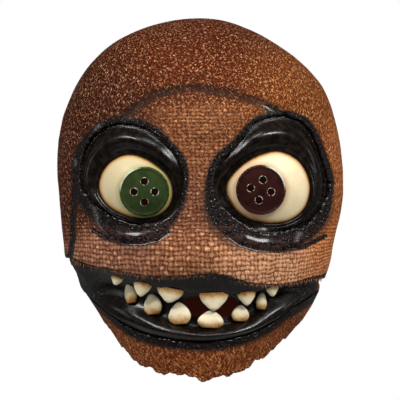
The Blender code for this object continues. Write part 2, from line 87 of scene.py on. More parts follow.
# Drop, left, right, front, back, squareness.
SECTIONS = np.array((
    (0.000, 0.001, 0.001, 0.001, 0.001, 2.00),
    (0.022, 0.350, 0.285, 0.360, 0.340, 2.00),
    (0.067, 0.597, 0.512, 0.590, 0.575, 2.00),
    (0.112, 0.730, 0.672, 0.735, 0.700, 2.02),
    (0.156, 0.820, 0.787, 0.832, 0.794, 2.05),
    (0.202, 0.885, 0.872, 0.905, 0.865, 2.10),
    (0.292, 0.968, 0.950, 0.965, 0.952, 2.30),
    (0.403, 1.000, 0.996, 0.985, 1.000, 2.40),
    (0.517, 0.982, 0.996, 0.998, 1.000, 2.45),
    (0.627, 0.956, 0.936, 1.020, 0.944, 2.35),
    (0.700, 0.925, 0.900, 1.020, 0.881, 2.25),
    (0.783, 0.780, 0.812, 0.965, 0.794, 2.15),
    (0.840, 0.690, 0.728, 0.938, 0.730, 2.10),
    (0.917, 0.590, 0.600, 0.905, 0.660, 2.10),
    (1.000, 0.500, 0.495, 0.845, 0.587, 2.10),
))
# Azimuth from the face, drop of the torn lower edge.
HEM = np.array((
    (-180, 0.800), (-130, 0.808), (-95, 0.832), (-80, 0.848), (-67, 0.871), (-53, 0.921), (-40, 0.954),
    (-25, 0.976), (-10, 0.986), (2, 0.997), (14, 0.989), (32, 0.954), (46, 0.922), (61, 0.885), (75, 0.852),
    (95, 0.832), (130, 0.808), (180, 0.800),
))
BROW = np.array((
    (-48, 0.320), (-32, 0.276), (-21, 0.224), (-10, 0.206), (0, 0.203),
    (12, 0.219), (25, 0.240), (33, 0.258), (50, 0.300),
))
# Azimuth, then the drops of the burlap's upper edge, the gum's edge, the lower teeth's line
# and the burlap's lower edge.
MOUTH = np.array((
    (-112, 0.680, 0.684, 0.689, 0.692),
    (-95, 0.667, 0.690, 0.735, 0.762),
    (-75, 0.671, 0.697, 0.756, 0.787),
    (-57, 0.683, 0.709, 0.771, 0.820),
    (-38, 0.700, 0.727, 0.794, 0.863),
    (-18, 0.720, 0.751, 0.837, 0.887),
    (2, 0.716, 0.766, 0.860, 0.897),
    (22, 0.738, 0.766, 0.840, 0.879),
    (36, 0.741, 0.750, 0.797, 0.853),
    (50, 0.731, 0.739, 0.769, 0.812),
    (70, 0.727, 0.736, 0.752, 0.784),
    (90, 0.726, 0.735, 0.746, 0.764),
    (106, 0.730, 0.732, 0.735, 0.740),
))
# Line of the mouth, share down to the next, sunk, rolled.
LIP_PROFILE = (
    (1, 0.00, 0.00, 0.00),
    (1, 1.00, 0.10, 0.00),
    (2, 0.08, 0.80, 0.00),
    (2, 0.25, 1.00, 0.00),
    (2, 0.75, 1.00, 0.00),
    (2, 1.00, 0.45, 0.00),
    (3, 0.25, 0.00, 0.65),
    (3, 0.50, 0.00, 1.00),
    (3, 0.78, 0.00, 0.65),
    (3, 1.00, 0.00, 0.00),
)
# Reaches from the eye's centre in equal steps round from the right: shares of the radius, and
# for the paint units of the front view.
EYES = {
    "left": {
        "centre": (-0.383, 0.480), "radius": 0.042, "gaze": (1.2, 2.9),
        "button": "button_green", "slot": "green_latex", "turn": 0,
        "aperture": (0.590, 0.552, 0.543, 0.636, 0.798, 0.895, 0.914, 0.764, 0.626, 0.586, 0.598, 0.612),
        "opening": (0.769, 0.881, 0.990, 1.193, 1.436, 1.407, 1.236, 0.876, 0.726, 0.690, 0.710, 0.752),
        "painted": (43, 50, 55, 68, 79, 79, 71, 60, 58, 55, 47, 43),
    },
    "right": {
        "centre": (0.425, 0.477), "radius": 0.043, "gaze": (-2.2, 2.1),
        "button": "button_maroon", "slot": "maroon_latex", "turn": 11,
        "aperture": (0.944, 0.909, 0.819, 0.681, 0.607, 0.640, 0.737, 0.691, 0.670, 0.684, 0.788, 0.916),
        "opening": (1.302, 1.323, 1.498, 1.316, 0.991, 0.960, 0.949, 0.823, 0.770, 0.835, 0.942, 1.156),
        "painted": (72, 74, 83, 74, 56, 57, 57, 61, 61, 62, 68, 73),
    },
}
LID_PROFILE = np.array((
    (0.00, 0.00), (0.08, 0.38), (0.20, 0.84), (0.34, 1.00), (0.52, 0.80), (0.75, 0.36), (1.00, 0.00),
))
# Azimuth, width, length, lean.
UPPER_TEETH = (
    (-37.6, 0.0125, 0.0085, 18), (-25.5, 0.0165, 0.0125, 12), (-12.8, 0.0232, 0.0125, 12),
    (6.0, 0.0250, 0.0148, -2), (21.2, 0.0165, 0.0115, -4), (33.8, 0.0125, 0.0092, -6),
)
LOWER_TEETH = (
    (-35.3, 0.0126, 0.0185, -10), (-23.3, 0.0170, 0.0172, -6), (-9.6, 0.0192, 0.0182, -4),
    (5.0, 0.0207, 0.0143, 3), (19.8, 0.0163, 0.0133, 3), (30.5, 0.0098, 0.0138, 6),
)
UPPER_TOOTH_PROFILE = np.array((
    (0.00, 1.00), (0.25, 0.95), (0.50, 0.78), (0.74, 0.50), (0.92, 0.25), (1.00, 0.02),
))
LOWER_TOOTH_PROFILE = np.array((
    (0.00, 0.66), (0.20, 0.93), (0.40, 1.00), (0.65, 0.80), (0.86, 0.46), (0.96, 0.22), (1.00, 0.02),
))

# The front view: a level camera this far off, and units of this size, counted from its upper
# left corner.
CAMERA_DISTANCE = 3.0
VIEW_HEIGHT = -0.1504
UNIT = 0.000842
EYE_UNIT = UNIT / 1.034  # nearer to the camera, at the eyes

# Folds and painted lines, as points of the front view.
BROW_FOLD = ((119, 120), (126, 114), (154, 95), (177, 89), (200, 88), (228, 93), (256, 101), (276, 110))
SIDE_GROOVE = ((77, 160), (74, 187), (73, 205), (72, 222), (72, 240), (68, 262))
LEFT_BAG = ((92, 230), (105, 238), (120, 243), (140, 244), (158, 240), (168, 232))
RIGHT_BAG = ((228, 236), (240, 245), (257, 250), (280, 251), (304, 247), (326, 236))

# Tones of the burlap, with painted light (the right side lighter, the left side darker): place in the front
# view, reach each way and sRGB colour.
TONES_AND_LIGHT = (
    ("crown", 215, 28, 90, 30, (95, 42, 15)),
    ("forehead left", 105, 90, 42, 50, (85, 38, 18)),
    ("forehead middle", 190, 62, 60, 30, (120, 54, 19)),
    ("forehead right", 300, 80, 44, 48, (154, 88, 38)),
    ("glabella", 200, 140, 42, 36, (142, 88, 54)),
    ("bridge", 195, 200, 26, 26, (128, 80, 56)),
    ("temple left", 62, 175, 18, 60, (90, 41, 22)),
    ("temple right", 345, 175, 18, 60, (200, 120, 64)),
    ("cheek left", 110, 258, 50, 18, (156, 104, 80)),
    ("cheek middle", 190, 252, 40, 18, (146, 92, 60)),
    ("cheek right", 275, 264, 46, 18, (226, 164, 122)),
    ("cheek far right", 322, 262, 18, 30, (192, 112, 54)),
    ("chin", 200, 365, 80, 26, (168, 93, 44)),
)
# The tone where none of them reaches, and its weight.
PLAIN_TONE = (112, 66, 40)
PLAIN_WEIGHT = 0.02
# The weave's threads in metres, across and down.
THREAD_PITCH = (0.0037, 0.0031)

# The set: strength of the world's light on surfaces and in reflections, then the lamps with
# their places, sizes and watts.
AMBIENT = 0.38
REFLECTED = 0.08
LIGHTS = (
    ("key_left", (-0.80, -0.82, 0.75), (0.38, 0.26), 13.8),
    ("key_right", (0.82, -0.82, 0.72), (0.38, 0.26), 15.4),
    ("top", (0.02, -0.85, 1.20), (0.80, 0.14), 8.0),
    ("strip_left", (-1.25, -0.20, 0.00), (0.06, 0.45), 1.0),
    ("strip_right", (1.25, -0.20, 0.05), (0.06, 0.45), 1.4),
)
LIT_POINT = (0, -0.04, -0.15)
FLOOR_REACH = 1.6
FLOOR_HEIGHT = -1.60

# Objects that cut others and are removed at the end.
CUTTERS = []


def srgb(red, green, blue):
    shares = [value / 255 for value in (red, green, blue)]
    return tuple(v / 12.92 if v < 0.0404 else ((v + 0.055) / 1.055) ** 2.4 for v in shares)


def between(start, end, leaving, arriving, share):
    """A cubic from start to end with the given slopes."""
    square, cube = share ** 2, share ** 3
    return ((2 * cube - 3 * square + 1) * start + (cube - 2 * square + share) * leaving
            + (3 * square - 2 * cube) * end + (cube - square) * arriving)


def cubic(table, column, key):
    """A smooth curve through a table's rows, read at an array of keys."""
    keys, values = table[:, 0], table[:, column]
    last = len(keys) - 1
    key = np.clip(np.asarray(key, float), keys[0], keys[last])
    place = np.clip(np.searchsorted(keys, key, side="left") - 1, 0, last - 1)
    span = keys[place + 1] - keys[place]
    share = (key - keys[place]) / span
    slopes = []
    for row in (place, place + 1):
        low, high = np.maximum(row - 1, 0), np.minimum(row + 1, last)
        slopes.append((values[high] - values[low]) / (keys[high] - keys[low]) * span)
    return between(values[place], values[place + 1], *slopes, share)


def around(values, angle):
    """A smooth closed curve given in equal steps round the circle, read at angles in degrees."""
    values = np.asarray(values, float)
    count = len(values)
    place = np.asarray(angle, float) / 360 * count
    step = np.floor(place).astype(int)
    share = place - step
    before, here, there, after = [values[(step + shift) % count] for shift in (-1, 0, 1, 2)]
    return (here + share * (there - before) / 2
            + share ** 2 * (before - 2.5 * here + 2 * there - after / 2)
            + share ** 3 * (1.5 * (here - there) + (after - before) / 2))


def hill(distance, width):
    return np.exp(-(distance / width) ** 2)


def step_up(value, low, high):
    share = np.clip((value - low) / (high - low), 0, 1)
    return share * share * (3 - 2 * share)


def fade(distance, reach, soft):
    return step_up(reach + soft - np.abs(distance), 0, soft)


def wobble(place, seed):
    """A smooth mix of waves between about -1 and 1."""
    total = np.zeros_like(np.asarray(place, float))
    for index in range(5):
        rate = (1.0, 1.73, 2.91, 4.37, 7.1)[index]
        total = total + np.sin(place * rate + seed * (index + 1) * 2.399) / (1 + 0.55 * index)
    return total / 2.4


ROOT_SECTIONS = SECTIONS.copy()
ROOT_SECTIONS[:, 0] = np.sqrt(SECTIONS[:, 0])


def relief(azimuth, drop):
    brow = cubic(BROW, 1, azimuth)
    rise = BROW_RISE * hill(drop - brow + 0.040, 0.040) * fade(azimuth, 30, 24)
    rise = rise + GLABELLA_RISE * hill(drop - 0.300, 0.060) * hill(azimuth - 1, 15)
    rise = rise + NOSE_RISE * hill(azimuth - 2, 8) * fade(drop - 0.54, 0.10, 0.10)
    return rise + CHEEK_RISE * hill(drop - 0.672, 0.062) * fade(azimuth + 3, 36, 34)


def head_point(azimuth, drop):
    azimuth, drop = np.broadcast_arrays(np.asarray(azimuth, float), np.asarray(drop, float))
    key = np.sqrt(np.maximum(drop, 0))
    left, right, front, back, square = [cubic(ROOT_SECTIONS, column, key) for column in range(1, 6)]
    across = np.maximum(np.where(azimuth > 0, right, left), 0.0001) * HEAD_WIDTH / 2
    behind, ahead = np.maximum(back, 0.0001) * BACK_DEPTH, np.maximum(front, 0.0001) * FACE_DEPTH
    along = np.where(np.abs(azimuth) > 90, behind, ahead)
    sine, cosine = np.sin(np.radians(azimuth)), np.cos(np.radians(azimuth))
    reach = ((np.abs(sine) / across) ** square + (np.abs(cosine) / along) ** square) ** (-1 / square)
    reach = reach + relief(azimuth, drop) * np.minimum(drop / 0.05, 1)
    return np.stack((reach * sine, -reach * cosine, SKIN - drop * HEAD_HEIGHT), axis=-1)


def unit(vectors):
    return vectors / np.maximum(np.linalg.norm(vectors, axis=-1, keepdims=True), 1e-12)


def head_normal(azimuth, drop):
    turn = head_point(azimuth + 1, drop) - head_point(azimuth - 1, drop)
    fall = head_point(azimuth, drop + 0.006) - head_point(azimuth, drop - 0.006)
    return unit(np.cross(fall, turn))


def sunk_point(azimuth, drop, depth):
    return head_point(azimuth, drop) - head_normal(azimuth, drop) * np.asarray(depth)[..., None]


def azimuth_at(across, drop):
    low, high = np.zeros_like(across), np.full_like(across, 89.0)
    side = np.sign(across)
    for _ in range(24):
        middle = (low + high) / 2
        inside = np.abs(head_point(side * middle, drop)[..., 0]) < np.abs(across)
        low, high = np.where(inside, middle, low), np.where(inside, high, middle)
    return side * low


def hem_drop(azimuth):
    jag = np.sin(azimuth * 0.31 + 1.1) + 0.8 * np.sin(azimuth * 0.53 + 0.4) + 0.5 * np.sin(azimuth * 0.97)
    return cubic(HEM, 1, azimuth) + HEM_JAG / HEAD_HEIGHT * jag * 0.5 * fade(azimuth, 150, 25)


def front_view(points):
    scale = CAMERA_DISTANCE / (CAMERA_DISTANCE + points[..., 1]) / UNIT
    return 200 + points[..., 0] * scale, 200 - (points[..., 2] - VIEW_HEIGHT) * scale


def line_distance(across, down, line):
    """Distance from a line of the front view, in its units, and the share of the way along it."""
    best = np.full(np.shape(across), 1e9)
    place = np.zeros(np.shape(across))
    for index in range(len(line) - 1):
        (ax, ay), (bx, by) = line[index], line[index + 1]
        length = (bx - ax) ** 2 + (by - ay) ** 2
        share = np.clip(((across - ax) * (bx - ax) + (down - ay) * (by - ay)) / length, 0, 1)
        gap = np.hypot(across - ax - share * (bx - ax), down - ay - share * (by - ay))
        place = np.where(gap < best, (index + share) / (len(line) - 1), place)
        best = np.minimum(best, gap)
    return best, place


def eye_centre(eye):
    across, drop = eye["centre"]
    return np.array((across * HEAD_WIDTH / 2, -EYE_SETBACK, SKIN - drop * HEAD_HEIGHT))


def eye_polar(eye, points):
    """Angle and reach of points seen from the front, about the eye's centre."""
    centre = eye_centre(eye)
    across, up = points[..., 0] - centre[0], points[..., 2] - centre[2]
    return np.degrees(np.arctan2(up, across)), np.hypot(across, up)


# The burlap skin.

def opening_field(azimuth, drop):
    """Metres outside the nearest opening of the skin; negative in an opening."""
    points = head_point(azimuth, drop)
    ahead = np.abs(azimuth) < 89
    field = np.full(points.shape[:-1], 1.0)
    for seed, eye in enumerate(EYES.values()):
        angle, reach = eye_polar(eye, points)
        turn = np.radians(angle)
        ragged = 0.0009 * wobble(turn * 9, seed + 1) + 0.0007 * wobble(turn * 31, seed + 3)
        gap = reach - around(eye["opening"], angle) * eye["radius"] + ragged
        field = np.where(ahead, np.minimum(field, gap), field)
    jag = 0.0006 * wobble(azimuth * 0.45, 5) + 0.0005 * wobble(azimuth * 1.9, 6)
    above = (cubic(MOUTH, 1, azimuth) - drop) * HEAD_HEIGHT + jag
    jag = 0.0006 * wobble(azimuth * 0.55, 7) + 0.0004 * wobble(azimuth * 2.1, 8)
    below = (drop - cubic(MOUTH, 4, azimuth)) * HEAD_HEIGHT + jag
    ends = np.maximum(azimuth - MOUTH[-1, 0], MOUTH[0, 0] - azimuth) * METRES_A_DEGREE
    return np.minimum(field, np.maximum(np.maximum(above, below), ends))


def row_drops(rows, lowest):
    """Drops of a grid's rows: level ones down to the cheeks, then even ones down to the lowest."""
    share = np.linspace(0, 1, rows)[:, None]
    upper = LAST_LEVEL * np.minimum(share / LAST_LEVEL, 1) ** 1.12
    lower = (lowest[None, :] - LAST_LEVEL) * (share - LAST_LEVEL) / (1 - LAST_LEVEL)
    return np.where(share <= LAST_LEVEL, upper, LAST_LEVEL + lower)


def skin_grid():
    """Azimuths and drops of the skin's grid, with the points near an opening's edge moved onto it."""
    front = np.arange(-105, 105.01, 0.75)
    side = np.linspace(105, 180, 46)[1:]
    columns = np.concatenate((-side[::-1], front, side))
    azimuth = np.repeat(columns[None, :], 205, axis=0)
    fray = (0.0007 * wobble(columns * 1.35, 11) + 0.0005 * wobble(columns * 4.1, 12)) / HEAD_HEIGHT
    drop = np.maximum(row_drops(205, hem_drop(columns) + fray), 0.00002)
    for _ in range(3):
        field = opening_field(azimuth, drop)
        across = opening_field(azimuth + 0.05, drop) - opening_field(azimuth - 0.05, drop)
        along = opening_field(azimuth, drop + 0.0003) - opening_field(azimuth, drop - 0.0003)
        across, along = across / (2 * 0.05 * METRES_A_DEGREE), along / (2 * 0.0003 * HEAD_HEIGHT)
        steep = np.maximum(across ** 2 + along ** 2, 0.2)
        near = np.abs(field) < 0.00075
        move = np.where(near, field / steep, 0)
        azimuth = azimuth - np.clip(move * across, -MOST_MOVE, MOST_MOVE) / METRES_A_DEGREE
        drop = drop - np.clip(move * along, -MOST_MOVE, MOST_MOVE) / HEAD_HEIGHT
    return azimuth, drop


def skin_detail(azimuth, drop, points):
    """Extra relief of the folds in metres, and the painted zones, read in the front view."""
    across, down = front_view(points)
    ahead = step_up(-points[..., 1], -0.01, 0.01)
    gap, place = line_distance(across, down, BROW_FOLD)
    ends = 1 - 0.7 * np.abs(2 * place - 1) ** 4
    rise = -0.0018 * hill(gap, 4.2) * ends
    shade = 0.88 * fade(gap, 2.8, 3.4)
    paint = 0.20 * fade(gap, 3.0, 3.0)
    paint = paint + 0.35 * fade(gap, 2.6, 3.4) * step_up(np.abs(2 * place - 1), 0.66, 0.98)
    gap, place = line_distance(across, down, SIDE_GROOVE)
    rise = rise - 0.0018 * hill(gap, 3.2)
    paint = np.maximum(paint, 0.85 * fade(gap, 1.3, 3.2))
    for line, depth in ((LEFT_BAG, 0.0013), (RIGHT_BAG, 0.0014)):
        gap, place = line_distance(across, down, line)
        rise = rise - depth * hill(gap, 2.6)
        rise = rise + 0.8 * depth * hill(gap - 6.5, 4.0) * step_up(np.abs(place - 0.5), 0.55, 0.2)
        paint = np.maximum(paint, 0.75 * fade(gap, 1.2, 2.4))
    for eye in EYES.values():
        angle, reach = eye_polar(eye, points)
        edge = around(eye["opening"], angle) * eye["radius"] / EYE_UNIT
        outer = np.maximum(around(eye["painted"], angle), edge + 4)
        place = (reach / EYE_UNIT - edge) / np.maximum(outer - edge, 1)
        coat = 1 - step_up(place, 0.70, 1.20)
        bag = step_up(outer - edge, 8, 14)
        coat = coat * (1 - 0.22 * bag * step_up(place, 0.10, 0.35) * (1 - step_up(place, 0.75, 0.95)))
        shade = np.maximum(shade, (1 - step_up(place, 0.9, 1.7)) * (np.abs(azimuth) < 100))
        paint = np.maximum(paint, coat * (np.abs(azimuth) < 100))
    above = (cubic(MOUTH, 1, azimuth) - drop) * HEAD_HEIGHT
    dark = 0.0016 + 0.0028 * hill(across - 222, 20) + 0.002 * step_up(np.abs(across - 195), 100, 130)
    near = (above > -0.02) * (drop < 0.80)
    paint = np.maximum(paint, 0.80 * (1 - step_up(above, dark * 0.3, dark * 1.6)) * near)
    below = (drop - cubic(MOUTH, 4, azimuth)) * HEAD_HEIGHT
    paint = np.maximum(paint, (1 - step_up(below, 0.0030, 0.0078)) * (below > -0.02))
    shade = np.maximum(shade, (1 - step_up(below, 0.0060, 0.0100)) * (below > -0.02))
    side = fade(azimuth, 100, 18) * ahead
    bag = np.zeros(points.shape[:-1])
    for line in (LEFT_BAG, RIGHT_BAG):
        bag = np.maximum(bag, fade(line_distance(across, down, line)[0], 9, 8))
    return rise * ahead, paint * side, shade * side, bag * side


# The burlap's colour with its painted light: lighter on the right, darker on the left.
def tone_and_light_colour(points):
    across, down = front_view(points)
    total = np.full(across.shape, PLAIN_WEIGHT)
    colour = np.zeros(across.shape + (3,)) + PLAIN_WEIGHT * np.array(srgb(*PLAIN_TONE))
    for _, x, y, wide, tall, value in TONES_AND_LIGHT:
        weight = np.exp(-((across - x) / wide) ** 2 - ((down - y) / tall) ** 2)
        weight = weight * step_up(-points[..., 1], -0.05, 0.02)
        total = total + weight
        colour = colour + weight[..., None] * np.array(srgb(*value))
    return colour / total[..., None]


def link(name, data):
    item = bpy.data.objects.new(name, data)
    bpy.context.scene.collection.objects.link(item)
    return item


def make_mesh(name, points, faces, material):
    mesh = bpy.data.meshes.new(name)
    mesh.from_pydata(np.asarray(points, float).reshape(-1, 3).tolist(), [], faces)
    mesh.update()
    mesh.shade_smooth()
    mesh.materials.append(material)
    return link(name, mesh)


def add_values(item, name, values):
    layer = item.data.attributes.new(name, "FLOAT", "POINT")
    layer.data.foreach_set("value", np.asarray(values, np.float32).ravel())


def add_colours(item, name, values):
    layer = item.data.attributes.new(name, "FLOAT_COLOR", "POINT")
    full = np.concatenate((values.reshape(-1, 3), np.ones((values.size // 3, 1))), axis=1)
    layer.data.foreach_set("color", full.astype(np.float32).ravel())


def add_cloth_map(item, across, along):
    layer = item.data.uv_layers.new(name="cloth")
    index = np.zeros(len(item.data.loops), np.int32)
    item.data.loops.foreach_get("vertex_index", index)
    flat = np.stack((across.ravel()[index], along.ravel()[index]), axis=1)
    layer.data.foreach_set("uv", flat.astype(np.float32).ravel())


def ride(item, nodes):
    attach(item, "root")
    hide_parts(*nodes)
    return item


def cell_corners(rows, columns):
    """The four corners of each cell of a grid of points."""
    index = np.arange(rows * columns).reshape(rows, columns)
    return [part.ravel() for part in (index[:-1, :-1], index[:-1, 1:], index[1:, 1:], index[1:, :-1])]


def build_skin(material):
    azimuth, drop = skin_grid()
    rows, columns = azimuth.shape
    base = head_point(azimuth, drop)
    normal = head_normal(azimuth, np.maximum(drop, TOP_DROP))
    rise, paint, shade, bag = skin_detail(azimuth, drop, base)
    lumps = 0.00022 * wobble(azimuth * 0.23 + 9 * drop, 21) * np.sin(drop * 90 + azimuth * 0.05)
    points = base + normal * (rise + lumps)[..., None]
    field = opening_field(azimuth, drop)
    field = np.where(np.abs(field) < 0.0001, 0, field)
    a, b, c, d = cell_corners(rows, columns)
    flat = field.ravel()
    swap = (flat[b] == 0) & (flat[d] == 0)
    first = np.where(swap[:, None], np.stack((a, d, b), 1), np.stack((a, d, c), 1))
    second = np.where(swap[:, None], np.stack((b, d, c), 1), np.stack((a, c, b), 1))
    faces = np.concatenate((first, second))
    faces = faces[flat[faces].mean(axis=1) >= 0]
    # The cut edges get the skin's thickness.
    edges = np.concatenate((faces[:, (0, 1)], faces[:, (1, 2)], faces[:, (2, 0)]))
    keys = edges.min(axis=1) * (rows * columns) + edges.max(axis=1)
    _, where, count = np.unique(keys, return_index=True, return_counts=True)
    rim = edges[where[count == 1]]
    column_of = rim % columns
    seam = (column_of == 0).all(axis=1) | (column_of == columns - 1).all(axis=1)
    rim = rim[~(seam | (rim < columns).all(axis=1))]
    used = np.unique(rim)
    inner = {int(value): rows * columns + place for place, value in enumerate(used)}
    flat_points = points.reshape(-1, 3)
    flat_normal = normal.reshape(-1, 3)
    all_points = np.concatenate((flat_points, flat_points[used] - flat_normal[used] * SKIN))
    walls = [(int(q), int(p), inner[int(p)], inner[int(q)]) for p, q in rim]
    faces = [tuple(face) for face in faces.tolist()] + walls
    skin = make_mesh("burlap_skin", all_points, faces, material)
    steps = np.linalg.norm(np.diff(base, axis=1), axis=2)
    around_row = np.concatenate((np.zeros((rows, 1)), np.cumsum(steps, axis=1)), axis=1)
    around_row = around_row - around_row[:, columns // 2][:, None]
    down_rows = np.linalg.norm(np.diff(base, axis=0), axis=2).mean(axis=1)
    down_row = np.concatenate(((0.0,), np.cumsum(down_rows)))
    along = np.repeat(down_row[:, None], columns, axis=1)

    def widen(values):
        return np.concatenate((values.ravel(), values.ravel()[used]))

    add_cloth_map(skin, widen(around_row), widen(along))
    across, down = front_view(base)
    ahead = step_up(-base[..., 1], -0.03, 0.03)
    cheeks = step_up(down, 205, 235) * (1 - step_up(down, 300, 330))
    middle = 0.75 * hill(across - 200, 62) * step_up(down, 96, 112) * (down < 300)
    weave = np.maximum(cheeks, middle) * ahead
    chin = step_up(down, 322, 340) * ahead
    add_values(skin, "paint", np.concatenate((paint.ravel(), np.maximum(paint.ravel()[used], 0.2))))
    add_values(skin, "shade", widen(shade))
    add_values(skin, "bag", widen(bag))
    add_values(skin, "weave", widen(weave))
    add_values(skin, "chin", widen(chin))
    # The burlap's colour, with painted light: lighter on the right, darker on the left.
    tone_and_light = tone_and_light_colour(base)
    add_colours(skin, "tone_and_light", np.concatenate((tone_and_light.reshape(-1, 3), tone_and_light.reshape(-1, 3)[used])))
    return ride(skin, ["head_skin"])


def build_lining(material):
    """The smooth inside, lower than the burlap at the back."""
    columns = np.linspace(-180, 180, 121)
    lowest = hem_drop(columns) + LINING_FLAP * step_up(np.abs(columns), 128, 150)
    drop = np.maximum(row_drops(70, lowest), 0.0005)
    azimuth = np.repeat(columns[None, :], 70, axis=0)
    points = head_point(azimuth, drop) - head_normal(azimuth, np.maximum(drop, TOP_DROP)) * SKIN
    keep = opening_field(azimuth, drop).ravel()
    quads = np.stack(cell_corners(*azimuth.shape), 1)
    quads = quads[keep[quads].min(axis=1) > 0.0010]
    lining = make_mesh("skin_lining", points, [tuple(face) for face in quads.tolist()], material)
    return ride(lining, ["head_skin"])


def build_fringe(material):
    """Frayed threads that hang from the skin's edge over the mouth."""
    chance = np.random.default_rng(7)
    points, faces, colours, dark = [], [], [], []
    for start in np.arange(-64, 70, 0.62):
        azimuth = start + chance.uniform(-0.3, 0.3)
        drop = float(cubic(MOUTH, 1, azimuth)) - chance.uniform(0.0, 0.006)
        root = head_point(azimuth, drop)
        out = head_normal(azimuth, drop)
        side = unit(head_point(azimuth + 1, drop) - head_point(azimuth - 1, drop))
        fall = np.array((0.0, 0.0, -1.0)) + side * chance.uniform(-0.9, 0.9)
        fall = unit(fall + out * chance.uniform(-0.1, 0.35))
        curl = side * chance.uniform(-0.5, 0.5)
        length = chance.uniform(0.0022, 0.0052)
        thick = chance.uniform(0.00026, 0.00042)
        first = len(points)
        for step in range(5):
            share = step / 4
            middle = root + (fall + curl * share) * length * share - out * 0.0004
            for corner in range(3):
                turn = math.radians(120 * corner)
                ring = side * math.cos(turn) + out * math.sin(turn)
                points.append(middle + ring * thick * (1.1 - share))
        for step in range(4):
            for corner in range(3):
                low, high = first + 3 * step, first + 3 * step + 3
                after = (corner + 1) % 3
                faces.append((low + corner, low + after, high + after, high + corner))
        faces.append((first + 2, first + 1, first))
        faces.append((first + 12, first + 13, first + 14))
        across, _ = front_view(root)
        # The burlap's colour at the thread's root, with its painted light.
        colours += [tone_and_light_colour(root) * chance.uniform(0.5, 1.6)] * 15
        dark += [min(1.0, 0.35 * chance.random() + 0.9 * float(hill(across - 222, 24)))] * 15
    fringe = make_mesh("mouth_fringe", points, faces, material)
    add_colours(fringe, "tone_and_light", np.array(colours))
    add_values(fringe, "paint", dark)
    return ride(fringe, ["head_skin"])


# The eyes.

def aperture_direction(eye, angle):
    turn = np.radians(angle)
    shell = eye["radius"] + CLEARANCE + LID_WALL
    reach = around(eye["aperture"], angle) * eye["radius"] / shell
    across, up = reach * np.cos(turn), reach * np.sin(turn)
    ahead = -np.sqrt(np.maximum(1 - across ** 2 - up ** 2, 0.01))
    return unit(np.stack((across, ahead, up), axis=-1))


def swing(direction, extra):
    """Turns directions away from straight ahead by an extra angle."""
    angle = np.arccos(np.clip(-direction[..., 1], -1, 1)) + extra
    side = unit(direction * np.array((1, 0, 1)))
    return side * np.sin(angle)[..., None] + np.array((0, -1, 0)) * np.cos(angle)[..., None]


def grid_quads(rows, columns, closed):
    faces = []
    for row in range(rows - 1):
        for column in range(columns if closed else columns - 1):
            after = (column + 1) % columns
            faces.append((row * columns + column, row * columns + after,
                          (row + 1) * columns + after, (row + 1) * columns + column))
    return faces


def closed_faces(rows, steps):
    """Faces of rings of points between a first and a last point."""
    faces = [(0, 1 + (step + 1) % steps, 1 + step) for step in range(steps)]
    faces += [tuple(1 + index for index in face) for face in grid_quads(rows, steps, True)]
    last = 1 + (rows - 1) * steps
    return faces + [(last + step, last + (step + 1) % steps, last + steps) for step in range(steps)]


def face_forwards(item):
    lean = sum(face.normal.y * face.area for face in item.data.polygons)
    if lean > 0:
        item.data.flip_normals()


def apply_modifiers(item):
    depsgraph = bpy.context.evaluated_depsgraph_get()
    mesh = bpy.data.meshes.new_from_object(item.evaluated_get(depsgraph))
    item.modifiers.clear()
    item.data = mesh


def thicken(item, wall, offset=-1.0):
    shell = item.modifiers.new("wall", "SOLIDIFY")
    shell.thickness = wall
    shell.offset = offset
    shell.use_even_offset = False
    apply_modifiers(item)


def make_cutter(name, points, faces):
    mesh = bpy.data.meshes.new(name)
    mesh.from_pydata(points, [], faces)
    CUTTERS.append(link(name, mesh))
    return CUTTERS[-1]


def cut(item, cutter):
    knife = item.modifiers.new("cut", "BOOLEAN")
    knife.operation = "DIFFERENCE"
    knife.solver = "EXACT"
    knife.object = cutter
    apply_modifiers(item)


def build_eyelid(side, material):
    eye = EYES[side]
    centre = eye_centre(eye)
    shell = eye["radius"] + CLEARANCE + LID_WALL
    steps = 168
    angle = np.arange(steps) * 360 / steps
    direction = aperture_direction(eye, angle)
    inner = centre + swing(direction, 1.3 * EYE_MARGIN / eye["radius"]) * shell
    turn = np.radians(angle)

    def on_skin(extra):
        reach = around(eye["opening"], angle) * eye["radius"] + extra
        across, up = centre[0] + reach * np.cos(turn), centre[2] + reach * np.sin(turn)
        drop = (SKIN - up) / HEAD_HEIGHT
        azimuth = azimuth_at(across, drop)
        return sunk_point(azimuth, drop, np.full(steps, FLANGE)), head_normal(azimuth, drop)

    edge, skin_normal = on_skin(0.0)
    tuck, _ = on_skin(LID_TUCK)
    normal = unit(direction + skin_normal)
    upper = 0.30 + 0.70 * fade(angle - 100, 50, 60)
    wide = np.minimum(np.linalg.norm(edge - inner, axis=1) / 0.022, 1)
    rings = [centre + direction * shell]
    shares = np.linspace(0, 1, 44)
    for out in shares:
        roll = cubic(LID_PROFILE, 1, out)
        rise = LID_ROLL * upper * wide * roll
        rim = 0.0006 * hill(out - 0.06, 0.05)
        ripple = 0.00008 * wobble(turn * 6 + out * 9, 31) * out
        place = inner + (edge - inner) * out + normal * (rise + rim + ripple)[:, None]
        rings.append(place)
    rings.append(tuck)
    points = np.stack(rings)
    lid = make_mesh("eyelid_" + side + "_gloss", points, grid_quads(len(rings), steps, True), material)
    face_forwards(lid)
    rough = np.concatenate(([0.0], step_up(shares, 0.80, 1.0), [1.0]))
    lower = step_up(np.sin(turn + 0.5), -0.15, -0.75)
    outside = step_up(np.arange(len(rings)) / len(rings), 0.25, 0.7)
    rough = rough[:, None] + 0.55 * lower[None, :] * outside[:, None]
    add_values(lid, "rough", np.clip(rough, 0, 1))
    thicken(lid, LID_WALL)
    return ride(lid, ["eyelid_" + side])


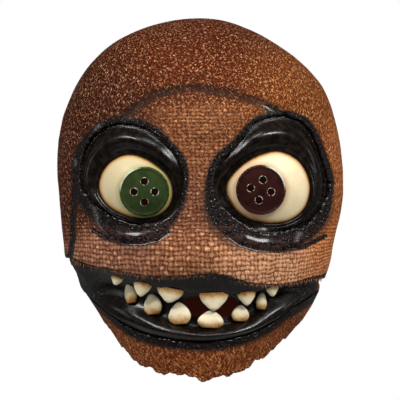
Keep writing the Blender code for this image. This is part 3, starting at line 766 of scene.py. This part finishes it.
def build_eyeball(side, material):
    eye = EYES[side]
    centre = eye_centre(eye)
    steps, rings = 144, 46
    angle = np.arange(steps) * 360 / steps
    rim = swing(aperture_direction(eye, angle), EYE_MARGIN / eye["radius"])
    reach = np.arccos(np.clip(-rim[:, 1], -1, 1))
    seen = np.arccos(np.clip(-aperture_direction(eye, angle)[:, 1], -1, 1))
    flat = unit(rim * np.array((1, 0, 1)))
    points, edge = [], []
    for ring in range(1, rings + 1):
        part = reach * (ring / rings) ** 0.9
        direction = flat * np.sin(part)[:, None] + np.array((0, -1, 0)) * np.cos(part)[:, None]
        points.append(centre + eye["radius"] * direction)
        edge.append((seen - part) * eye["radius"])
    apex = centre + np.array((0, -eye["radius"], 0))
    points = np.concatenate((apex[None, :], np.concatenate(points)))
    faces = [(0, 1 + step, 1 + (step + 1) % steps) for step in range(steps)]
    faces += [tuple(1 + index for index in face) for face in grid_quads(rings, steps, True)]
    ball = make_mesh("eyeball_" + side + "_cream", points, faces, material)
    face_forwards(ball)
    add_values(ball, "edge", np.concatenate(([0.03], np.concatenate(edge))))
    thicken(ball, EYE_WALL)
    cut(ball, hole_cutter(side))
    return ride(ball, ["eyeball_" + side])


def gaze(eye, points):
    """Points turned about the eye's centre, sideways and then down."""
    sideways, down = eye["gaze"]
    turn = Matrix.Rotation(math.radians(sideways), 3, "Z") @ Matrix.Rotation(math.radians(down), 3, "X")
    centre = eye_centre(eye)
    return centre + (np.asarray(points) - centre) @ np.array(turn).T


def hole_places(side):
    """Where the button's centre and its four holes show on its face."""
    eye = EYES[side]
    centre = eye_centre(eye)
    face = eye["radius"] + BUTTON_GAP + BUTTON_WALL
    places = [(0.0, -face, 0.0)]
    for hole in range(4):
        turn = math.radians(90 * hole - eye["turn"])
        ahead = math.sqrt(face ** 2 - HOLE_REACH ** 2)
        places.append((HOLE_REACH * math.cos(turn), -ahead, HOLE_REACH * math.sin(turn)))
    return gaze(eye, centre + np.array(places))


def hole_cutter(side):
    """Four pins that pierce the button and the eye behind it."""
    eye = EYES[side]
    centre = eye_centre(eye)
    points, faces = [], []
    front = centre[1] - eye["radius"] - 0.01
    back = centre[1] - eye["radius"] + 0.012
    steps = 28
    for hole in range(4):
        turn = math.radians(90 * hole - eye["turn"])
        x, z = centre[0] + HOLE_REACH * math.cos(turn), centre[2] + HOLE_REACH * math.sin(turn)
        first = len(points)
        for y in (front, back):
            for step in range(steps):
                angle = 2 * math.pi * step / steps
                points.append((x + HOLE_RADIUS * math.cos(angle), y, z + HOLE_RADIUS * math.sin(angle)))
        for step in range(steps):
            after = (step + 1) % steps
            faces.append((first + after, first + step, first + steps + step, first + steps + after))
        faces.append(tuple(first + step for step in range(steps)))
        faces.append(tuple(first + steps + step for step in range(steps - 1, -1, -1)))
    return make_cutter("pins_" + side, gaze(eye, points).tolist(), faces)


def build_button(side, material):
    eye = EYES[side]
    inner = eye["radius"] + BUTTON_GAP
    face = inner + BUTTON_WALL
    size = BUTTON_RADIUS

    def on_back(share):
        return size * share, math.sqrt(inner ** 2 - (size * share) ** 2)

    def on_face(share, raised=0.0):
        return size * share, math.sqrt(face ** 2 - (size * share) ** 2) + BUTTON_RIM * raised

    rim = on_face(1.0)[1]
    lip = on_face(0.90)[1] + BUTTON_RIM * 0.9
    section = [(0.0, inner)]
    section += [on_back(0.97 * k / 8) for k in range(1, 9)]
    section += [(size, rim - BUTTON_WALL * 0.55), (size, rim + BUTTON_RIM * 0.1)]
    section += [(size * 0.985, rim + BUTTON_RIM * 0.65), (size * 0.955, rim + BUTTON_RIM)]
    section += [(size * 0.92, lip), (size * 0.885, lip - BUTTON_RIM * 0.35), on_face(0.855, 0.15)]
    section += [on_face(0.82 * k / 12) for k in range(12, 0, -1)]
    section.append((0.0, face))
    steps = 112
    centre = eye_centre(eye)
    points = []
    for reach, height in section:
        for step in range(steps if reach > 0 else 1):
            angle = 2 * math.pi * step / steps
            points.append(centre + np.array((reach * math.cos(angle), -height, reach * math.sin(angle))))
    faces = closed_faces(len(section) - 2, steps)
    button = make_mesh(eye["button"] + "_pierced", gaze(eye, points), faces, material)
    button.data.flip_normals()
    cut(button, hole_cutter(side))
    button.data.shade_smooth()
    sharp = button.modifiers.new("edges", "EDGE_SPLIT")
    sharp.split_angle = math.radians(50)
    apply_modifiers(button)
    return ride(button, [eye["button"]])


# The mouth.

def lip_rows(azimuth):
    """Drops and depths of the black sheet's section lines."""
    tall = (cubic(MOUTH, 4, azimuth) - cubic(MOUTH, 1, azimuth)) * HEAD_HEIGHT
    open_share = np.clip((tall - 0.004) / 0.026, 0, 1)
    front_share = 0.1 + 0.9 * fade(azimuth + 3, 42, 26)
    tuck = LIP_TUCK / HEAD_HEIGHT
    drops = [cubic(MOUTH, 1, azimuth) - tuck]
    depths = [np.full_like(azimuth, FLANGE)]
    for line, down, sunk, rolled in LIP_PROFILE:
        above, below = cubic(MOUTH, line, azimuth), cubic(MOUTH, line + 1, azimuth)
        drops.append(above + down * (below - above))
        sink = sunk * (MOUTH_DEPTH - FLANGE) * front_share
        rise = rolled * (LIP_ROLL * front_share + FLANGE)
        depths.append(FLANGE + open_share * (sink - rise))
    drops.append(cubic(MOUTH, 4, azimuth) + tuck)
    depths.append(np.full_like(azimuth, FLANGE))
    return np.stack(drops), np.stack(depths)


def spread_rows(values, fine):
    """More rows between the given ones, on a smooth curve that doesn't overshoot much."""
    count = len(values)
    places = np.linspace(0, count - 1, (count - 1) * fine + 1)
    step = np.minimum(places.astype(int), count - 2)
    share = (places - step)[:, None]
    before, here = values[np.maximum(step - 1, 0)], values[step]
    there, after = values[step + 1], values[np.minimum(step + 2, count - 1)]
    tight = 0.35
    first, second = (there - before) * tight, (after - here) * tight
    return between(here, there, first, second, share)


def lip_sheet(name, material, steps, fine):
    azimuth = np.linspace(-115, 109, steps)
    drops, depths = lip_rows(azimuth)
    drops, depths = spread_rows(drops, fine), spread_rows(depths, fine)
    points = sunk_point(np.repeat(azimuth[None, :], len(drops), axis=0), drops, depths)
    sheet = make_mesh(name, points, grid_quads(len(drops), steps, False), material)
    face_forwards(sheet)
    return sheet, azimuth, drops


def build_lips(material):
    sheet, azimuth, drops = lip_sheet("lips_gloss", material, 300, 5)
    bottom = cubic(MOUTH, 4, azimuth)[None, :]
    top = cubic(MOUTH, 1, azimuth)[None, :]
    near = np.minimum(np.abs(drops - bottom), np.abs(drops - top) * 2.5) * HEAD_HEIGHT
    rough = 1 - step_up(near, 0.001, 0.005)
    corner = step_up(np.abs(azimuth + 3), 40, 58)[None, :]
    add_values(sheet, "rough", np.clip(rough + 0.55 * corner, 0, 1))
    thicken(sheet, LIP_WALL)
    cut(sheet, slot_cutter())
    sheet.data.shade_smooth()
    return ride(sheet, ["lips"])


def slot_cutter():
    height = SKIN - HEAD_HEIGHT * SLOT_DROP
    half = SLOT_HEIGHT / 2
    steps = 48
    points = []
    for depth in (-FACE_DEPTH * 0.5, -FACE_DEPTH * 1.5):
        for step in range(steps):
            angle = math.radians(360 * (step + 0.5) / steps)
            side = 1 if math.cos(angle) > 0 else -1
            across = side * (SLOT_WIDTH / 2 - half) + half * math.cos(angle)
            points.append((SLOT_OFFSET + across, depth, height + half * math.sin(angle)))
    faces = [((s + 1) % steps, (s + 1) % steps + steps, s + steps, s) for s in range(steps)]
    faces += [tuple(range(steps - 1, -1, -1)), tuple(range(steps, 2 * steps))]
    return make_cutter("slot", points, faces)


def build_tooth(node, row, profile, downwards, seed, seat, material):
    azimuth, width, length, lean = row
    root = float(cubic(MOUTH, 2 if downwards else 3, azimuth))
    outward = Vector(head_normal(azimuth, root))
    outward = Vector((outward.x, outward.y, 0)).normalized()
    up = Matrix.Rotation(math.radians(lean), 3, -outward) @ Vector((0, 0, -1 if downwards else 1))
    across = up.cross(outward).normalized()
    base = Vector(sunk_point(azimuth, root, UPPER_SETBACK if downwards else LOWER_SETBACK))
    steps, rings = 40, 26
    points, along = [tuple(base)], [0.0]
    for ring in range(rings + 1):
        share = ring / rings
        share = 1 - (1 - share) ** 1.3
        girth = float(cubic(profile, 1, share))
        for step in range(steps):
            angle = 2 * math.pi * step / steps
            uneven = 1 + 0.03 * math.sin(2 * angle + seed) + 0.02 * math.sin(3 * angle + 2 * seed + 4 * share)
            wide = math.cos(angle) * girth * uneven * width / 2
            deep = math.sin(angle) * (0.35 + 0.65 * girth) * TOOTH_THICKNESS / 2 * min(1.0, girth * 3)
            points.append(tuple(base + up * share * length + across * wide + outward * deep))
            along.append(share)
    points.append(tuple(base + up * length))
    along.append(1.0)
    faces = closed_faces(rings + 1, steps)
    tooth = make_mesh(node + "_worn", points, faces, material)
    middle = base + up * length / 2
    if sum((face.center - middle).dot(face.normal) * face.area for face in tooth.data.polygons) < 0:
        tooth.data.flip_normals()
    add_values(tooth, "along", along)
    cut(tooth, seat)
    tooth.data.shade_smooth()
    return ride(tooth, [node])


# Materials.

SOCKETS = {
    "colour": "Base Color", "rough": "Roughness", "normal": "Normal", "gloss": "Specular IOR Level",
    "coat": "Coat Weight", "coat_rough": "Coat Roughness",
}


class Nodes:
    """Short ways to write a node tree."""

    def __init__(self, name):
        self.material = bpy.data.materials.new(name)
        self.material.use_nodes = True
        self.tree = self.material.node_tree
        self.shader = self.tree.nodes["Principled BSDF"]

    def put(self, socket, value):
        if isinstance(value, bpy.types.NodeSocket):
            self.tree.links.new(value, socket)
        elif isinstance(value, tuple) and len(value) == 3 and socket.type == "RGBA":
            socket.default_value = (*value, 1.0)
        else:
            socket.default_value = value

    def node(self, kind, **settings):
        item = self.tree.nodes.new(kind)
        for key, value in settings.items():
            setattr(item, key, value)
        return item

    def math(self, operation, first, second=0.0, third=0.0):
        item = self.node("ShaderNodeMath", operation=operation)
        for socket, value in zip(item.inputs, (first, second, third)):
            self.put(socket, value)
        return item.outputs[0]

    def add(self, first, second):
        return self.math("ADD", first, second)

    def times(self, first, second):
        return self.math("MULTIPLY", first, second)

    def ramp(self, value, low, high, to_low=0.0, to_high=1.0):
        item = self.node("ShaderNodeMapRange", interpolation_type="SMOOTHSTEP")
        for index, number in enumerate((value, low, high, to_low, to_high)):
            self.put(item.inputs[index], number)
        return item.outputs[0]

    def mix(self, share, first, second, blend="MIX"):
        item = self.node("ShaderNodeMix", data_type="RGBA", blend_type=blend)
        self.put(item.inputs[0], share)
        self.put(item.inputs[6], first)
        self.put(item.inputs[7], second)
        return item.outputs[2]

    def blend(self, share, first, second):
        item = self.node("ShaderNodeMix", data_type="FLOAT")
        self.put(item.inputs[0], share)
        self.put(item.inputs[2], first)
        self.put(item.inputs[3], second)
        return item.outputs[0]

    def value(self, name):
        return self.node("ShaderNodeAttribute", attribute_name=name).outputs["Fac"]

    def colour(self, name):
        return self.node("ShaderNodeAttribute", attribute_name=name).outputs["Color"]

    def place(self):
        return self.node("ShaderNodeTexCoord").outputs["Object"]

    def offsets(self, place, centre):
        """How far a place is from a centre, sideways, up and in all, seen from the front."""
        split = self.node("ShaderNodeSeparateXYZ")
        self.put(split.inputs[0], place)
        x = self.add(split.outputs[0], -float(centre[0]))
        z = self.add(split.outputs[2], -float(centre[2]))
        return x, z, self.math("SQRT", self.add(self.times(x, x), self.times(z, z)))

    def cloth(self):
        return self.node("ShaderNodeUVMap", uv_map="cloth").outputs[0]

    def mapped(self, vector, scale=(1, 1, 1), turn=0.0):
        """Turned first, then scaled."""
        if turn:
            item = self.node("ShaderNodeMapping")
            self.put(item.inputs["Vector"], vector)
            item.inputs["Rotation"].default_value = (0, 0, math.radians(turn))
            vector = item.outputs[0]
        item = self.node("ShaderNodeMapping")
        self.put(item.inputs["Vector"], vector)
        item.inputs["Scale"].default_value = scale
        return item.outputs[0]

    def noise(self, vector, scale, detail=2.0, rough=0.5, bend=0.0, output=0):
        item = self.node("ShaderNodeTexNoise")
        self.put(item.inputs["Vector"], vector)
        item.inputs["Scale"].default_value = scale
        item.inputs["Detail"].default_value = detail
        item.inputs["Roughness"].default_value = rough
        item.inputs["Distortion"].default_value = bend
        return item.outputs[output]

    def grain(self, vector, size, detail=2.0, rough=0.5, bend=0.0):
        return self.noise(self.mapped(vector, (size, size, size)), 1.0, detail, rough, bend)

    def swing(self, noise, reach):
        """A noise's distance from its middle, times a reach."""
        return self.times(self.add(noise, -0.5), reach)

    def bump(self, height, distance, strength):
        item = self.node("ShaderNodeBump")
        self.put(item.inputs["Height"], height)
        item.inputs["Distance"].default_value = distance
        item.inputs["Strength"].default_value = strength
        return item.outputs[0]

    def finish(self, **values):
        for key, value in values.items():
            self.put(self.shader.inputs[SOCKETS[key]], value)
        return self.material


def burlap_material():
    n = Nodes("burlap_latex_cloth")
    cloth = n.cloth()
    # The threads wander a little.
    bend = n.noise(cloth, 85.0, 3.0, 0.62, output=1)
    shifted = n.node("ShaderNodeVectorMath", operation="MULTIPLY_ADD")
    n.put(shifted.inputs[0], bend)
    shifted.inputs[1].default_value = (0.0068, 0.0046, 0.0)
    n.put(shifted.inputs[2], cloth)
    split = n.node("ShaderNodeSeparateXYZ")
    n.put(split.inputs[0], shifted.outputs[0])
    u = n.math("DIVIDE", split.outputs[0], THREAD_PITCH[0])
    v = n.math("DIVIDE", split.outputs[1], THREAD_PITCH[1])
    column, row = n.math("FLOOR", u), n.math("FLOOR", v)
    pi = math.pi
    across = n.math("ABSOLUTE", n.math("SINE", n.times(u, pi)))
    along = n.math("ABSOLUTE", n.math("SINE", n.times(v, pi)))
    over = n.math("COSINE", n.times(n.add(n.add(u, -0.5), row), pi))
    under = n.math("COSINE", n.times(n.add(n.add(v, 0.5), column), pi))
    weft = n.times(n.math("POWER", along, 0.7), n.math("MULTIPLY_ADD", over, 0.34, 0.60))
    warp = n.times(n.math("POWER", across, 0.8), n.math("MULTIPLY_ADD", under, 0.30, 0.44))
    weave = n.math("SMOOTH_MAX", weft, warp, 0.12)
    cell = n.node("ShaderNodeCombineXYZ")
    n.put(cell.inputs[0], column)
    n.put(cell.inputs[1], row)
    stitch = n.node("ShaderNodeTexWhiteNoise", noise_dimensions="2D")
    n.put(stitch.inputs["Vector"], cell.outputs[0])
    weave = n.times(weave, n.math("MULTIPLY_ADD", stitch.outputs[0], 0.55, 0.70))
    fibre = n.noise(n.mapped(cloth, (760, 300, 1), 42), 1.0, 2.0, 0.6, 0.4)
    other = n.noise(n.mapped(cloth, (760, 300, 1), -38), 1.0, 2.0, 0.6, 0.4)
    fine = n.grain(cloth, 1100, 2.0, 0.6)
    clots = n.grain(cloth, 430, 3.0, 0.65)
    stipple = n.ramp(n.math("SMOOTH_MAX", fibre, other, 0.06), 0.42, 0.76)
    long_fibre = n.noise(n.mapped(cloth, (1000, 230, 1), 52), 1.0, 3.0, 0.6, 0.6)
    cross_fibre = n.noise(n.mapped(cloth, (1000, 230, 1), -48), 1.0, 3.0, 0.6, 0.6)
    long_fibre = n.ramp(n.math("MAXIMUM", long_fibre, cross_fibre), 0.45, 0.68)
    loose = n.blend(n.times(n.value("chin"), 0.7), stipple, long_fibre)
    woven = n.add(n.times(weave, 0.74), n.add(n.times(stipple, 0.22), n.swing(clots, 0.55)))
    height = n.blend(n.value("weave"), loose, woven)
    height = n.add(height, n.swing(fine, 0.45))
    # Dry brushed colour, partly painted shade and highlight on the weave: dark in the gaps, the tone on the
    # threads, and light on their backs.
    tone_and_light = n.colour("tone_and_light")
    patchy = n.grain(cloth, 60, 4.0, 0.6)
    dark = n.mix(1.0, tone_and_light, (0.27, 0.19, 0.14), "MULTIPLY")
    light = n.mix(n.ramp(patchy, 0.35, 0.7, 0.55, 1.0), tone_and_light, (0.70, 0.42, 0.22), "SCREEN")
    colour = n.mix(n.ramp(height, 0.20, 0.60), dark, tone_and_light)
    flecks_and_highlights = n.ramp(n.add(height, n.swing(fine, 0.9)), 0.62, 0.95)
    colour = n.mix(n.times(flecks_and_highlights, 0.85), colour, light)
    shade = n.times(n.value("shade"), n.ramp(patchy, 0.2, 0.7, 0.75, 1.0))
    dusky = n.mix(0.40, n.mix(1.0, colour, (0.26, 0.24, 0.25), "MULTIPLY"), srgb(54, 44, 38))
    colour = n.mix(shade, colour, dusky)
    # Black paint, worn off the backs of the threads, with light specks that are partly painted glints.
    paint = n.value("paint")
    coat = n.add(n.times(paint, 1.50), n.swing(clots, 1.3))
    coat = n.add(coat, n.swing(height, -0.25))
    coat = n.ramp(coat, 0.45, 0.85)
    blots = n.noise(n.mapped(cloth, (210, 260, 1)), 1.0, 3.0, 0.6, 0.5)
    grit = n.grain(cloth, 720, 2.0, 0.55)
    brown = n.times(n.ramp(blots, 0.44, 0.60), n.math("MULTIPLY_ADD", n.value("bag"), 0.7, 0.25))
    black = n.mix(brown, srgb(9, 7, 6), srgb(58, 34, 28))
    specks_and_glints = n.times(n.ramp(grit, 0.60, 0.68), n.ramp(blots, 0.56, 0.42, 0.15, 1.0))
    black = n.mix(n.times(specks_and_glints, 0.75), black, srgb(150, 146, 140))
    colour = n.mix(coat, colour, black)
    tall = n.add(height, n.times(n.times(n.add(n.add(grit, clots), -1.0), coat), 1.1))
    normal = n.bump(tall, 0.0011, 0.85)
    rough = n.blend(coat, n.ramp(fine, 0.3, 0.7, 0.55, 0.72), 0.30)
    wet = n.times(coat, 0.30)
    return n.finish(colour=colour, rough=rough, normal=normal, gloss=0.08, coat=wet, coat_rough=0.16)


def lining_material():
    n = Nodes("smooth_latex_inside")
    patches = n.grain(n.place(), 30, 4.0, 0.6)
    colour = n.mix(patches, srgb(138, 60, 38), srgb(98, 42, 27))
    normal = n.bump(n.grain(n.place(), 220, 3.0), 0.0004, 0.5)
    return n.finish(colour=colour, rough=0.6, normal=normal, gloss=0.2)


def thread_material():
    n = Nodes("frayed_threads")
    fibre = n.noise(n.mapped(n.place(), (900, 900, 400)), 1.0, 2.0, 0.5)
    # The burlap's colour at the thread's root, with its painted light.
    tone_and_light = n.colour("tone_and_light")
    colour = n.mix(n.ramp(fibre, 0.35, 0.65), n.mix(1.0, tone_and_light, (0.5, 0.42, 0.36), "MULTIPLY"), tone_and_light)
    colour = n.mix(n.value("paint"), colour, srgb(16, 12, 10))
    return n.finish(colour=colour, rough=0.6, gloss=0.15)


def black_material():
    n = Nodes("glossy_black_paint")
    place = n.place()
    rough = n.value("rough")
    clots = n.grain(place, 620, 3.0, 0.65)
    swell = n.grain(place, 70, 2.0, 0.5)
    fine = n.grain(place, 1500, 2.0, 0.5)
    height = n.add(n.times(swell, 0.5), n.times(n.times(clots, rough), 1.5))
    height = n.add(height, n.times(fine, 0.10))
    stain = n.grain(place, 190, 4.0, 0.65)
    base = n.mix(n.ramp(stain, 0.40, 0.66), srgb(8, 6, 5), srgb(30, 21, 15))
    # Light specks on the rough parts, partly painted glints.
    specks_and_glints = n.times(n.ramp(clots, 0.59, 0.67), n.ramp(rough, 0.15, 0.8))
    colour = n.mix(n.times(specks_and_glints, 0.70), base, srgb(140, 136, 130))
    normal = n.bump(height, 0.0009, 0.8)
    rough = n.blend(rough, n.ramp(swell, 0.3, 0.7, 0.20, 0.26), 0.28)
    return n.finish(colour=colour, rough=rough, normal=normal, gloss=0.24)


def cream_material(side):
    n = Nodes("cream_latex_" + side)
    place = n.place()
    edge = n.value("edge")
    cloud = n.grain(place, 90, 3.0, 0.6)
    mist = n.grain(place, 600, 2.0, 0.6)
    _, _, reach = n.offsets(place, hole_places(side)[0])
    # Painted shade: the left eye's white is darker than the right's.
    cream_white_shaded_left = srgb(190, 178, 144) if side == "left" else srgb(222, 206, 168)
    cream = n.mix(n.ramp(cloud, 0.3, 0.75), cream_white_shaded_left, n.mix(0.25, cream_white_shaded_left, srgb(190, 160, 104)))
    ring = n.add(edge, n.swing(cloud, 0.0030))
    ring = n.add(ring, n.swing(mist, 0.0012))
    colour = n.mix(n.ramp(ring, 0.0070, 0.0016, 0.0, 0.70), cream, srgb(184, 138, 76))
    colour = n.mix(n.ramp(ring, 0.0036, 0.0004, 0.0, 0.85), colour, srgb(130, 84, 40))
    colour = n.mix(n.ramp(ring, 0.0016, -0.0002, 0.0, 0.8), colour, srgb(60, 34, 16))
    glow = srgb(150, 150, 88) if side == "left" else srgb(176, 120, 96)
    colour = n.mix(n.ramp(n.add(reach, n.times(cloud, 0.002)), 0.0265, 0.0215, 0.0, 0.55), colour, glow)
    normal = n.bump(cloud, 0.0003, 0.3)
    return n.finish(colour=colour, rough=0.34, normal=normal, gloss=0.10)


def button_material(side):
    n = Nodes(EYES[side]["button"] + "_latex")
    place = n.place()
    centre, *holes = hole_places(side)
    cloud = n.grain(place, 110, 3.0, 0.55)
    chips = n.grain(place, 520, 3.0, 0.6)
    main, deep = ((44, 56, 28), (32, 44, 20)) if side == "left" else ((46, 20, 17), (32, 13, 11))
    colour = n.mix(n.ramp(cloud, 0.35, 0.7), srgb(*main), srgb(*deep))
    nearest = None
    for hole in holes:
        _, _, reach = n.offsets(place, hole)
        nearest = reach if nearest is None else n.math("MINIMUM", nearest, reach)
    # Pale rims round the holes.
    ring = n.add(nearest, n.swing(chips, 0.0010))
    pale_hole_rims = n.times(n.ramp(ring, HOLE_RADIUS + 0.0008, HOLE_RADIUS + 0.0003), n.ramp(chips, 0.44, 0.60))
    colour = n.mix(n.times(pale_hole_rims, 0.85), colour, srgb(214, 212, 198))
    inside = n.ramp(nearest, HOLE_RADIUS + 0.0001, HOLE_RADIUS - 0.0001)
    colour = n.mix(inside, colour, srgb(8, 7, 6))
    x, z, reach = n.offsets(place, centre)
    # Painted highlight: the rim a little lighter all round.
    rim = n.times(n.ramp(reach, BUTTON_RADIUS * 0.93, BUTTON_RADIUS * 1.0), n.ramp(chips, 0.45, 0.6))
    colour = n.mix(n.times(rim, 0.35), colour, srgb(150, 140, 100))
    # Painted highlight on the upper outer part of the rim, on the side the lamp falls from.
    lean = -0.75 if side == "left" else 0.75
    along = n.math("DIVIDE", n.add(n.times(x, lean), n.times(z, 0.66)), reach)
    painted_rim_highlight = n.times(n.ramp(along, 0.72, 0.96), n.ramp(reach, BUTTON_RADIUS * 0.925, BUTTON_RADIUS * 0.965))
    colour = n.mix(n.times(painted_rim_highlight, n.ramp(chips, 0.30, 0.55, 0.45, 0.9)), colour, srgb(196, 196, 176))
    normal = n.bump(n.add(cloud, n.times(chips, 0.25)), 0.0003, 0.5)
    return n.finish(colour=colour, rough=0.17, normal=normal, gloss=0.22)


def tooth_material():
    n = Nodes("tooth_latex_stained")
    place = n.place()
    along = n.value("along")
    cloud = n.grain(place, 170, 3.0, 0.6)
    mist = n.grain(place, 900, 2.0, 0.6)
    level = n.add(along, n.swing(cloud, 0.55))
    level = n.add(level, n.swing(mist, 0.25))
    colour = n.mix(n.ramp(level, 0.55, 0.12), srgb(222, 210, 178), srgb(190, 154, 98))
    colour = n.mix(n.ramp(level, 0.30, -0.06), colour, srgb(136, 90, 46))
    normal = n.bump(cloud, 0.0005, 0.35)
    return n.finish(colour=colour, rough=0.26, normal=normal, gloss=0.18)


def floor_material():
    n = Nodes("pale_floor")
    grain = n.grain(n.place(), 4, 4.0, 0.5)
    colour = n.mix(grain, (0.78, 0.78, 0.77), (0.84, 0.84, 0.84))
    return n.finish(colour=colour, rough=0.8, gloss=0.2)


# The set.

def build_set():
    scene = bpy.context.scene
    mesh = bpy.data.meshes.new("floor")
    corners = np.array(((-1, -1), (1, -1), (1, 1), (-1, 1))) * FLOOR_REACH
    mesh.from_pydata([(x, y, FLOOR_HEIGHT) for x, y in corners], [], [(0, 1, 2, 3)])
    mesh.materials.append(floor_material())
    floor = link("floor", mesh)
    camera = link("camera", bpy.data.cameras.new("camera"))
    camera.location = (0, -CAMERA_DISTANCE, VIEW_HEIGHT)
    camera.rotation_euler = (math.radians(90), 0, 0)
    camera.data.sensor_width = 36
    camera.data.lens = 18 * CAMERA_DISTANCE / (200 * UNIT)
    scene.camera = camera
    world = bpy.data.worlds.new("studio")
    scene.world = world
    world.use_nodes = True
    tree = world.node_tree
    back = tree.nodes["Background"]
    path = tree.nodes.new("ShaderNodeLightPath")
    level = tree.nodes.new("ShaderNodeMapRange")
    dim = tree.nodes.new("ShaderNodeMapRange")
    dim.inputs["To Min"].default_value = AMBIENT
    dim.inputs["To Max"].default_value = REFLECTED
    tree.links.new(path.outputs["Is Glossy Ray"], dim.inputs["Value"])
    tree.links.new(dim.outputs[0], level.inputs["To Min"])
    level.inputs["To Max"].default_value = 1.0
    tree.links.new(path.outputs["Is Camera Ray"], level.inputs["Value"])
    back.inputs["Color"].default_value = (1, 1, 1, 1)
    tree.links.new(level.outputs[0], back.inputs["Strength"])
    for name, place, size, power in LIGHTS:
        light = bpy.data.lights.new(name, "AREA")
        light.shape = "RECTANGLE"
        light.size, light.size_y = size
        light.energy = power
        item = link(name, light)
        item.location = place
        aim = Vector(LIT_POINT) - Vector(place)
        item.rotation_mode = "QUATERNION"
        item.rotation_quaternion = aim.to_track_quat("-Z", "Y")
    scene.view_settings.view_transform = "Standard"
    scene.view_settings.look = "None"


def main():
    black = black_material()
    build_skin(burlap_material())
    build_lining(lining_material())
    build_fringe(thread_material())
    for side in EYES:
        build_eyelid(side, black)
        build_eyeball(side, cream_material(side))
        build_button(side, button_material(side))
    build_lips(black)
    seat, _, _ = lip_sheet("seat", black, 110, 2)
    thicken(seat, LIP_WALL + 2 * CLEARANCE, -1 + 2 * CLEARANCE / (LIP_WALL + 2 * CLEARANCE))
    CUTTERS.append(seat)
    tooth = tooth_material()
    for index, row in enumerate(UPPER_TEETH):
        build_tooth(f"upper_tooth_{index + 1}", row, UPPER_TOOTH_PROFILE, True, index * 1.7, seat, tooth)
    for index, row in enumerate(LOWER_TEETH):
        build_tooth(f"lower_tooth_{index + 1}", row, LOWER_TOOTH_PROFILE, False, index * 2.3 + 1, seat, tooth)
    for cutter in CUTTERS:
        bpy.data.objects.remove(cutter)
    build_set()


main()
